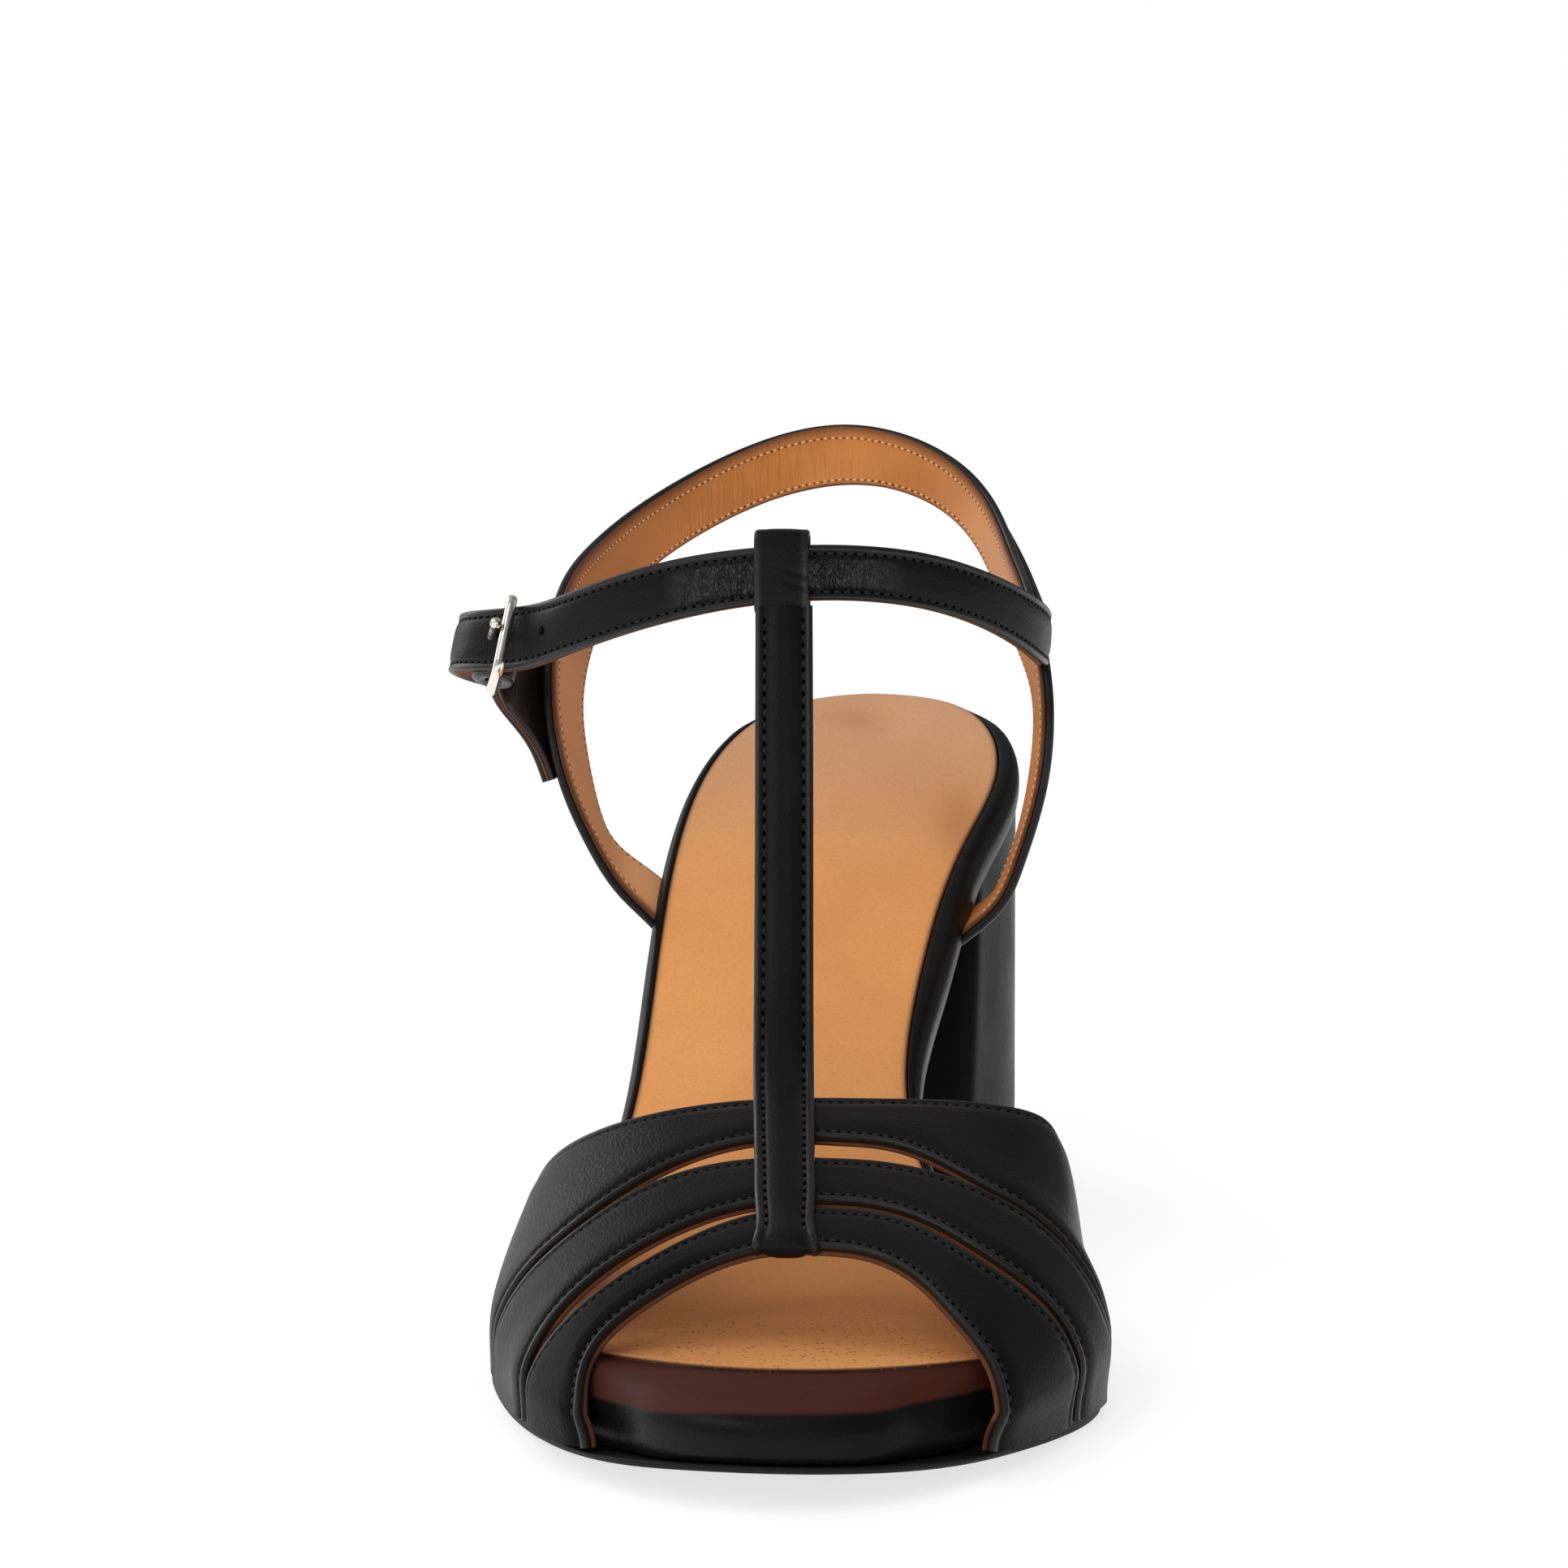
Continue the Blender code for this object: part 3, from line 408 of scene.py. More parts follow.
class Shader:
    """Lays out the nodes of one material."""

    def __init__(self, name: str) -> None:
        """Starts an empty principled material."""
        self.material = bpy.data.materials.new(name)
        self.material.use_nodes = True
        self.tree = self.material.node_tree
        self.principled = self.tree.nodes["Principled BSDF"]
        self.places = self.tree.nodes.new("ShaderNodeTexCoord").outputs["Object"]

    def node(self, kind: str, inputs: dict | None = None, **settings: object) -> Node:
        """Adds a node to the material."""
        return add_node(self.tree, kind, inputs, **settings)

    def noise(self, size: float, detail: float = 3.0) -> Socket:
        """Cloudy value whose lumps are about a size in millimetres."""
        return self.cloud_on(self.places, detail, 1.0 / (size * MM))

    def cloud_on(self, places: Socket, detail: float, scale: float = 1.0) -> Socket:
        """Cloudy value read at given places."""
        inputs = {"Vector": places, "Scale": scale, "Detail": detail}
        return self.node("ShaderNodeTexNoise", inputs).outputs["Fac"]

    def cells(self, size: float) -> Socket:
        """Distance from the middle of the nearest cell, in cells of a size in millimetres."""
        inputs = {"Vector": self.places, "Scale": 1.0 / (size * MM)}
        return self.node("ShaderNodeTexVoronoi", inputs).outputs["Distance"]

    def attribute(self, name: str) -> Socket:
        """Number kept on the mesh under a name."""
        return self.node("ShaderNodeAttribute", attribute_name=name).outputs["Fac"]

    def maths(self, operation: str, first: object, second: object, third: object = 0.0) -> Socket:
        """Result of a sum on two or three values or sockets."""
        inputs = {0: first, 1: second, 2: third}
        return self.node("ShaderNodeMath", inputs, operation=operation).outputs[0]

    def span(
        self, value: Socket, low: float, high: float, to_low: float = 0.0, to_high: float = 1.0
    ) -> Socket:
        """Value moved smoothly from one range to another."""
        inputs = {"Value": value, "From Min": low, "From Max": high, "To Min": to_low, "To Max": to_high}
        return self.node("ShaderNodeMapRange", inputs, interpolation_type="SMOOTHSTEP").outputs["Result"]

    def blend(self, share: Socket, first: object, second: object) -> Socket:
        """Mix of two colours."""
        ends = [colour if isinstance(colour, Socket) else (*colour, 1.0) for colour in (first, second)]
        return self.node("ShaderNodeMix", {0: share, 6: ends[0], 7: ends[1]}, data_type="RGBA").outputs[2]

    def bump(self, height: Socket, depth: float, under: Socket | None = None) -> Socket:
        """Relief of a depth in millimetres, on top of another relief."""
        inputs = {"Height": height, "Distance": depth * MM, "Strength": 1.0}
        if under is not None:
            inputs["Normal"] = under
        return self.node("ShaderNodeBump", inputs).outputs["Normal"]

    def surface(self, **values: object) -> Material:
        """Sets or links the shader's own sockets, with spaces in their names as underscores."""
        for key, value in values.items():
            socket = self.principled.inputs[key.replace("_", " ")]
            if isinstance(value, Socket):
                self.tree.links.new(value, socket)
            elif isinstance(value, tuple):
                socket.default_value = (*value, 1.0)
            else:
                socket.default_value = value
        return self.material


@dataclass(frozen=True)
class Leather:
    """Smooth leather: two close shades, grain, pores, worn, raw and creased places, and painted sheen, shade
    and reflection that the mesh marks.
    """

    name: str
    shade: Triple
    light_shade: Triple
    edge_shade: Triple
    roughness: float
    cloud: float = 16.0
    grain: float = 0.5
    grain_depth: float = 0.05
    crack_depth: float = 0.44
    pleat_depth: float = 0.6
    crack_turn: Triple = (0.0, 0.0, 0.5)
    crack_scale: Triple = (2.0, 0.8, 1.0)
    pleat_scale: Triple = (1.4, 0.11, 1.0)
    sway: float = 7.0
    sway_depth: float = 0.12
    pore_depth: float = 0.0
    pore_size: float = 1.1
    pore_shade: Triple = (0.1, 0.04, 0.02)
    # Colour of the painted reflection on the wrap's top and of the painted shade at the toe straps' feet.
    reflection_and_shade_colour: Triple = (0.046, 0.013, 0.008)
    # Paler colour for rubbed wear and for painted sheen.
    fade_and_sheen_shade: Triple = (0.50, 0.28, 0.165)
    speckle: float = 0.0
    speck_size: float = 0.5
    specular: float = 0.5

    def material(self) -> Material:
        """Builds the material."""
        shader = Shader(self.name)
        broad = shader.noise(self.cloud, 4.0)
        # Painted reflection and painted shade, as the mesh marks them.
        reflection_and_shade = shader.span(shader.attribute("tint"), 0.46, 0.54)
        shine = shader.maths("MULTIPLY_ADD", shader.attribute("polish"), 0.8, shader.attribute("crackle"))
        colour = self.colour(shader, broad, reflection_and_shade)
        normal = self.relief(shader)
        if self.pore_depth:
            dots = self.pores(shader)
            colour = shader.blend(dots, colour, self.pore_shade)
            normal = shader.bump(shader.maths("MULTIPLY", dots, -1.0), self.pore_depth, normal)
        rough = shader.span(broad, 0.25, 0.75, self.roughness - 0.05, self.roughness + 0.06)
        gloss = shader.maths("MULTIPLY", shine, -0.14)
        dull = shader.maths("MULTIPLY", reflection_and_shade, 0.4)
        return shader.surface(
            Base_Color=colour,
            Roughness=shader.maths("ADD", rough, shader.maths("ADD", gloss, dull)),
            Normal=normal,
            Specular_IOR_Level=shader.maths("MULTIPLY_ADD", shine, 0.45, self.specular),
        )

    def colour(self, shader: Shader, broad: Socket, reflection_and_shade: Socket) -> Socket:
        """Colour of the leather: cloudy shades, then rubbed wear and painted sheen, raw edges and painted
        shade, specks, and a painted reflection and painted shade.

        Args:
            shader: Material being laid out.
            broad: Cloudy value that mixes the two shades.
            reflection_and_shade: Share of the painted reflection and painted shade.

        Returns:
            The colour.
        """
        found = shader.blend(shader.span(broad, 0.3, 0.72), self.shade, self.light_shade)
        # Painted sheen on the sock's seat, and rubbed wear with painted sheen and light on the back lining.
        found = shader.blend(shader.attribute("faded"), found, self.fade_and_sheen_shade)
        # Raw and worn edges, and the painted shade that the mesh adds through the same mark.
        found = shader.blend(shader.attribute("raw_edge"), found, self.edge_shade)
        if self.speckle:
            specks = shader.span(shader.noise(self.speck_size, 4.0), 0.42, 0.72, 0.0, self.speckle)
            found = shader.blend(specks, found, self.edge_shade)
        return shader.blend(reflection_and_shade, found, self.reflection_and_shade_colour)

    def relief(self, shader: Shader) -> Socket:
        """Relief of the leather: grain, crackle, pleats along the strap's own lines, and a soft sway."""
        cells = shader.maths("MULTIPLY", shader.cells(self.grain), 0.75)
        fine = shader.maths("MULTIPLY", shader.noise(self.grain * 0.4, 2.0), 0.4)
        normal = shader.bump(shader.maths("ADD", cells, fine), self.grain_depth)
        places = {0: shader.attribute("along"), 1: shader.attribute("across")}
        lines = shader.node("ShaderNodeCombineXYZ", places).outputs[0]
        slant = shader.node("ShaderNodeMapping", {0: lines, 2: self.crack_turn, 3: self.crack_scale})
        cracks = shader.span(shader.cloud_on(slant.outputs[0], 5.0), 0.35, 0.65)
        ridges = shader.maths("MULTIPLY", cracks, shader.attribute("crackle"))
        normal = shader.bump(ridges, self.crack_depth, normal)
        stretch = shader.node("ShaderNodeVectorMath", {0: lines, 1: self.pleat_scale}, operation="MULTIPLY")
        pleats = shader.cloud_on(stretch.outputs[0], 4.0)
        folds = shader.maths("MULTIPLY", pleats, shader.attribute("wrinkle"))
        normal = shader.bump(folds, self.pleat_depth, normal)
        return shader.bump(shader.noise(self.sway, 2.0), self.sway_depth, normal)

    def pores(self, shader: Shader) -> Socket:
        """Small dark dots in loose clusters."""
        spots = shader.span(shader.cells(self.pore_size), 0.14, 0.24, 1.0, 0.0)
        keep = shader.span(shader.noise(self.sway, 2.0), 0.34, 0.48)
        return shader.maths("MULTIPLY", shader.maths("MULTIPLY", spots, keep), shader.attribute("pores"))


@dataclass(frozen=True)
class Rubber:
    """Matt moulded rubber with a fine skin."""

    name: str
    shade: Triple
    scuff_shade: Triple
    roughness: float

    def material(self) -> Material:
        """Builds the material."""
        shader = Shader(self.name)
        dust = shader.span(shader.noise(5.0, 6.0), 0.5, 0.8, 0.0, 0.6)
        skin = shader.noise(0.25, 3.0)
        return shader.surface(
            Base_Color=shader.blend(dust, self.shade, self.scuff_shade),
            Roughness=shader.span(skin, 0.3, 0.7, self.roughness - 0.06, self.roughness + 0.06),
            Normal=shader.bump(skin, 0.03),
            Specular_IOR_Level=0.18,
        )


@dataclass(frozen=True)
class Metal:
    """Plated wire with faint rub marks."""

    name: str
    shade: Triple
    roughness: float

    def material(self) -> Material:
        """Builds the material."""
        shader = Shader(self.name)
        rub = shader.noise(1.4, 5.0)
        return shader.surface(
            Base_Color=shader.blend(rub, self.shade, tuple(c * 0.86 for c in self.shade)),
            Metallic=1.0,
            Roughness=shader.span(rub, 0.35, 0.7, self.roughness - 0.04, self.roughness + 0.12),
            Normal=shader.bump(shader.noise(0.5, 3.0), 0.006),
        )


@dataclass(frozen=True)
class Thread:
    """Sewing thread with a twist."""

    name: str
    shade: Triple
    specular: float = 0.25

    def material(self) -> Material:
        """Builds the material."""
        shader = Shader(self.name)
        strand = shader.noise(0.2, 2.0)
        return shader.surface(
            Base_Color=shader.blend(strand, self.shade, tuple(c * 1.5 for c in self.shade)),
            Roughness=shader.span(strand, 0.3, 0.7, 0.5, 0.7),
            Normal=shader.bump(strand, 0.04),
            Specular_IOR_Level=self.specular,
        )


@dataclass(frozen=True)
class FloorPaint:
    """White studio floor, lit a little from below as on a light table."""

    name: str = "studio_floor"
    shade: Triple = (0.30, 0.30, 0.30)
    glow: float = 0.72

    def material(self) -> Material:
        """Builds the material."""
        shader = Shader(self.name)
        cloud = shader.noise(240.0, 3.0)
        return shader.surface(
            Base_Color=shader.blend(cloud, self.shade, tuple(c * 1.01 for c in self.shade)),
            Roughness=shader.span(cloud, 0.2, 0.8, 0.6, 0.7),
            Specular_IOR_Level=0.2,
            Emission_Color=(1.0, 1.0, 1.0),
            Emission_Strength=self.glow,
        )


class Finishes:
    """Every material of the sandal, made once."""

    def __init__(self) -> None:
        """Builds the materials."""
        brown = (0.075, 0.026, 0.012)
        black = Leather(
            "black_smooth_leather",
            shade=(0.0030, 0.0027, 0.0030),
            light_shade=(0.0050, 0.0045, 0.0050),
            edge_shade=(0.012, 0.009, 0.008),
            roughness=0.40,
            grain_depth=0.045,
            specular=0.15,
        )
        wrap = replace(
            black,
            name="black_wrap_leather",
            shade=(0.0030, 0.0027, 0.0028),
            light_shade=(0.0046, 0.0041, 0.0043),
            roughness=0.33,
            grain=0.45,
            grain_depth=0.03,
            specular=0.10,
        )
        heel = replace(wrap, name="black_heel_leather", roughness=0.36, specular=0.06)
        # Buckle tab: a lighter, browner copy of the wrap leather, partly the tab's own reddish-black tone
        # and partly painted light for a tab that gets little light.
        tab = replace(
            wrap,
            name="buckle_tab_leather",
            shade=(0.009, 0.0045, 0.0046),
            light_shade=(0.016, 0.0076, 0.0078),
            edge_shade=(0.014, 0.009, 0.008),
            roughness=0.34,
            specular=0.3,
        )
        self.black, self.wrap = black.material(), wrap.material()
        self.heel, self.tab = heel.material(), tab.material()
        self.lining = Leather(
            "tan_lining_leather",
            shade=(0.38, 0.138, 0.034),
            light_shade=(0.48, 0.182, 0.050),
            edge_shade=brown,
            # Pale colour for the lining's rubbed runs, light enough to paint sheen and light on them.
            fade_and_sheen_shade=(0.72, 0.38, 0.19),
            roughness=0.56,
            grain=0.6,
            grain_depth=0.03,
            specular=0.22,
        ).material()
        self.sock = Leather(
            "tan_insole_leather",
            shade=(0.60, 0.256, 0.077),
            light_shade=(0.64, 0.280, 0.089),
            # Near-black brown for the sock's darker hem, the painted shade in its dents, and its specks.
            edge_shade=(0.035, 0.012, 0.006),
            roughness=0.54,
            grain=0.55,
            grain_depth=0.022,
            sway_depth=0.03,
            speckle=0.10,
            pore_depth=0.09,
            specular=0.22,
        ).material()
        rubber = Rubber("black_sole_rubber", (0.0055, 0.0052, 0.0054), (0.010, 0.0092, 0.0088), 0.55)
        self.rubber = rubber.material()
        self.metal = Metal("bright_buckle_metal", (0.93, 0.90, 0.85), 0.2).material()
        self.black_thread = Thread("black_thread", (0.010, 0.0095, 0.0100)).material()
        # Near-black matte beads as painted shade in the needle holes.
        self.needle_hole_shade = Thread("needle_hole_shade", (0.0004, 0.0004, 0.0004), 0.0).material()
        self.tan_thread = Thread("tan_thread", (0.50, 0.27, 0.13)).material()
        self.raw_core = Leather(
            "raw_edge_leather",
            shade=(0.085, 0.032, 0.018),
            light_shade=(0.15, 0.062, 0.034),
            edge_shade=brown,
            roughness=0.75,
            grain=0.3,
            specular=0.25,
        ).material()


# Mesh builders


@dataclass
class Workbench:
    """What every sub-assembly needs: the last, its place in the row, and the finishes."""

    last: LastShape
    row: Row
    finishes: Finishes

    def piece(
        self,
        name: str,
        points: Array,
        faces: Sequence[Sequence[int]],
        finish: Material,
        marks: Marks | None = None,
        sharp_degrees: float = 50.0,
    ) -> Piece:
        """Makes one closed mesh object in the row frame.

        Args:
            name: Name of the piece.
            points: Points on the last's axes.
            faces: Corner numbers of each face.
            finish: Material of the piece.
            marks: Numbers for the material, one for each point.
            sharp_degrees: Edges that turn by more than this stay sharp.

        Returns:
            The object.
        """
        mesh = bpy.data.meshes.new(name)
        mesh.from_pydata([tuple(p) for p in self.row.metres(points)], [], [tuple(f) for f in faces])
        for key, values in (marks or {}).items():
            layer = mesh.attributes.new(key, "FLOAT", "POINT")
            layer.data.foreach_set("value", np.asarray(values, np.float32).ravel())
        work = bmesh.new()
        work.from_mesh(mesh)
        bmesh.ops.remove_doubles(work, verts=work.verts, dist=1e-6)
        bmesh.ops.dissolve_degenerate(work, edges=work.edges, dist=1e-7)
        bmesh.ops.recalc_face_normals(work, faces=work.faces)
        work.to_mesh(mesh)
        work.free()
        mesh.shade_smooth()
        mesh.set_sharp_from_angle(angle=math.radians(sharp_degrees))
        mesh.materials.append(finish)
        made = bpy.data.objects.new(name, mesh)
        bpy.context.scene.collection.objects.link(made)
        return made

    def lofted(self, name: str, loops: Array, closed: bool, finish: Material, sharp: float = 50.0) -> Piece:
        """Makes one piece from loops of equal size."""
        return self.piece(name, loops.reshape(-1, 3), loft(loops, closed), finish, None, sharp)

    def declare(self, piece: Piece, slot: Slot, *nodes: str) -> None:
        """Rides a piece on the sandal, hides the CAD nodes that it stands for, and logs it."""
        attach(piece, BODY)
        if nodes:
            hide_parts(*nodes)
        log.info("%s: %d faces", piece.name, len(piece.data.polygons))


@dataclass
class MeshParts:
    """Points, faces and marks gathered for one object."""

    points: list[Array] = field(default_factory=list)
    faces: Faces = field(default_factory=list)
    marks: dict[str, list[Array]] = field(default_factory=dict)
    count: int = 0

    def add(self, points: Array, faces: Sequence[Sequence[int]], marks: Marks | None = None) -> None:
        """Adds one closed shape."""
        flat = np.asarray(points, float).reshape(-1, 3)
        self.faces += [tuple(self.count + k for k in face) for face in faces]
        for key in set(self.marks) | set(marks or {}):
            blank = [np.zeros(self.count)] if self.count else []
            values = (marks or {}).get(key)
            self.marks.setdefault(key, blank)
            values = np.zeros(len(flat)) if values is None else np.asarray(values, float).ravel()
            self.marks[key].append(values)
        self.points.append(flat)
        self.count += len(flat)

    def build(self, bench: Workbench, name: str, finish: Material, slot: Slot, node: str) -> Piece:
        marks = {key: np.concatenate(values) for key, values in self.marks.items()}
        made = bench.piece(name, np.vstack(self.points), self.faces, finish, marks)
        bench.declare(made, slot, node)
        return made


class StrapSurface:
    """Middle surface of a strap, read at shares of the way across it."""

    def __init__(self, points_at: Reading, rows: int, outward: Array, closed: bool = False) -> None:
        """Keeps the surface and turns its normals outwards.

        Args:
            points_at: Points of the surface for shares in a table of rows by columns.
            rows: Number of rows along the strap.
            outward: Direction that the middle row's normal leans to.
            closed: True for a strap that runs round into itself.
        """
        self.points_at = points_at
        self.rows = rows
        self.closed = closed
        self.sign = 1.0
        grid, normal = self.grid(np.tile(np.linspace(0.0, 1.0, 5), (rows, 1)))
        self.sign = 1.0 if np.dot(normal[rows // 2, 2], outward) >= 0 else -1.0
        self.width = np.linalg.norm(np.diff(grid, axis=1), axis=2).sum(axis=1)
        self.along = chord_knots(grid[:, 2])

    def row_at(self, x: float, before_y: float) -> int:
        """Row whose middle comes nearest to an x, in front of a y."""
        middle = self.points_at(np.full((self.rows, 1), 0.5))[:, 0]
        return int(np.argmin(np.where(middle[:, 1] > before_y, np.inf, np.abs(middle[:, 0] - x))))

    @classmethod
    def between(cls, path: Array, outward: Sequence[float], closed: bool = False) -> "StrapSurface":
        """Surface ruled between the two edges in a table of first and second edge points."""

        def points_at(share: Array) -> Array:
            """Points of the ruled surface."""
            return path[:, None, :3] * (1 - share[:, :, None]) + path[:, None, 3:] * share[:, :, None]

        return cls(points_at, len(path), np.asarray(outward, float), closed)

    def grid(self, share: Array) -> tuple[Array, Array]:
        """Points and outward normals at a table of shares."""
        points = self.points_at(share)
        if self.closed:
            along = np.roll(points, -1, axis=0) - np.roll(points, 1, axis=0)
        else:
            along = np.gradient(points, axis=0)
        across = np.gradient(points, axis=1)
        return points, unit(np.cross(along, across)) * self.sign

    def line(self, edge: StrapEdge, distance: float, lift: float) -> tuple[Array, Array]:
        """Line at a distance from one edge, lifted off the middle surface, with its normals."""
        share = distance / self.width
        if edge is StrapEdge.SECOND:
            share = 1 - share
        probe = 0.02
        points, normals = self.grid(np.stack([share - probe, share, share + probe], axis=1))
        return points[:, 1] + normals[:, 1] * lift, normals[:, 1]


@dataclass
class Layer:
    """One leather layer of a strap: its two faces as heights over the middle surface, and its set-backs."""

    low: float
    high: float
    first_inset: float = 0.0
    second_inset: float = 0.0
    columns: int = 9
    relief: Relief | None = None
    relief_on_low: bool = False
    tail_round: float = 0.0


class Ribbon:
    """Closed strip of leather with rounded edges on a strap surface."""

    past_edge = (0.25, 0.5, 0.75, 1.0, 1.25, 1.55, 1.9)

    def __init__(self, surface: StrapSurface, layer: Layer) -> None:
        """Lays out the strip."""
        self.surface = surface
        self.layer = layer
        radius = (layer.high - layer.low) / 2
        turns = np.radians(np.linspace(0.0, 90.0, 6))
        near = np.concatenate([radius * (1 - np.cos(turns)), radius + np.array(self.past_edge)])
        swell = np.concatenate([np.sin(turns), np.ones(len(self.past_edge))])
        self.distance, self.share, self.swell = self.columns(near, swell)
        self.points, self.normals = surface.grid(self.narrowed(self.share))

    def columns(self, near: Array, swell: Array) -> tuple[Array, Array, Array]:
        """Spreads columns over the strip's width.

        Args:
            near: Distances of the columns by each edge, from that edge.
            swell: Share of the full thickness at those columns.

        Returns:
            Distance from the nearer edge, share across the strap and share of the thickness.
        """
        layer, width = self.layer, self.surface.width[:, None]
        free = width - layer.first_inset - layer.second_inset
        fit = np.minimum(1.0, 0.46 * free / near[-1])
        first = near[None, :] * fit
        middle = np.linspace(0.0, 1.0, layer.columns + 2)[None, 1:-1]
        body = first[:, -1:] + (free - 2 * first[:, -1:]) * middle
        across = np.hstack([first, body, free - first[:, ::-1]])
        swells = np.concatenate([swell, np.ones(layer.columns), swell[::-1]])
        distance = np.minimum(across, free - across)
        return distance, (across + layer.first_inset) / width, np.broadcast_to(swells, across.shape)

    def narrowed(self, share: Array) -> Array:
        """Shares drawn in towards the middle at a rounded tail."""
        along, length = self.surface.along, self.layer.tail_round
        scale = np.ones(len(along))
        if length:
            t = np.clip(1 - (along[-1] - along) / length, 0.0, 1.0)
            scale = np.sqrt(np.clip(1 - t**2, 0.02, 1.0))
        return 0.5 + (share - 0.5) * scale[:, None]

    def add_to(self, parts: MeshParts, marks: Marker | None = None) -> None:
        """Adds the strip to a mesh.

        Args:
            parts: Mesh being gathered.
            marks: Gives the material's numbers from distances along, across and from the edge.
        """
        layer, surface = self.layer, self.surface
        middle, half = (layer.low + layer.high) / 2, (layer.high - layer.low) / 2
        along = np.broadcast_to(surface.along[:, None], self.share.shape)
        across = self.share * surface.width[:, None]
        lift = layer.relief(along, across, self.distance) if layer.relief else np.zeros(self.share.shape)
        lift = lift * np.clip(self.distance / (half + 0.4), 0.0, 1.0)
        high = middle + half * self.swell + (0.0 if layer.relief_on_low else lift)
        low = middle - half * self.swell + (lift if layer.relief_on_low else 0.0)
        top = self.points + self.normals * high[:, :, None]
        bottom = (self.points + self.normals * low[:, :, None])[:, -2:0:-1]
        rows, columns = top.shape[:2]
        size = 2 * columns - 2
        loop = np.concatenate([top, bottom], axis=1)
        faces = loft(loop, surface.closed, capped=False)
        if not surface.closed:
            for base in (0, (rows - 1) * size):
                faces.append((base, base + 1, base + size - 1))
                for j in range(1, columns - 2):
                    faces.append((base + j, base + j + 1, base + size - j - 1, base + size - j))
                faces.append((base + columns - 2, base + columns - 1, base + columns))
        found = {"along": along, "across": across}
        found.update(marks(along, across, self.distance) if marks else {})
        spread = {key: np.concatenate([v, v[:, -2:0:-1]], axis=1) for key, v in found.items()}
        parts.add(loop, faces, spread)


@dataclass
class StitchRow:
    """Row of stitches: points, normals, and the distance between stitches."""

    points: Array
    normals: Array
    pitch: float
    start: float = 0.0
    end: float = 0.0
    probe: float = 0.4

    def places(self) -> tuple[Array, Array, Array]:
        """Middle, direction and normal of each stitch."""
        knots = chord_knots(self.points)
        at = np.arange(self.start + self.pitch / 2, knots[-1] - self.end - self.pitch / 2, self.pitch)
        ahead = read_along(knots, self.points, at + self.probe)
        behind = read_along(knots, self.points, at - self.probe)
        normal = unit(read_along(knots, self.normals, at))
        return read_along(knots, self.points, at), unit(ahead - behind), normal


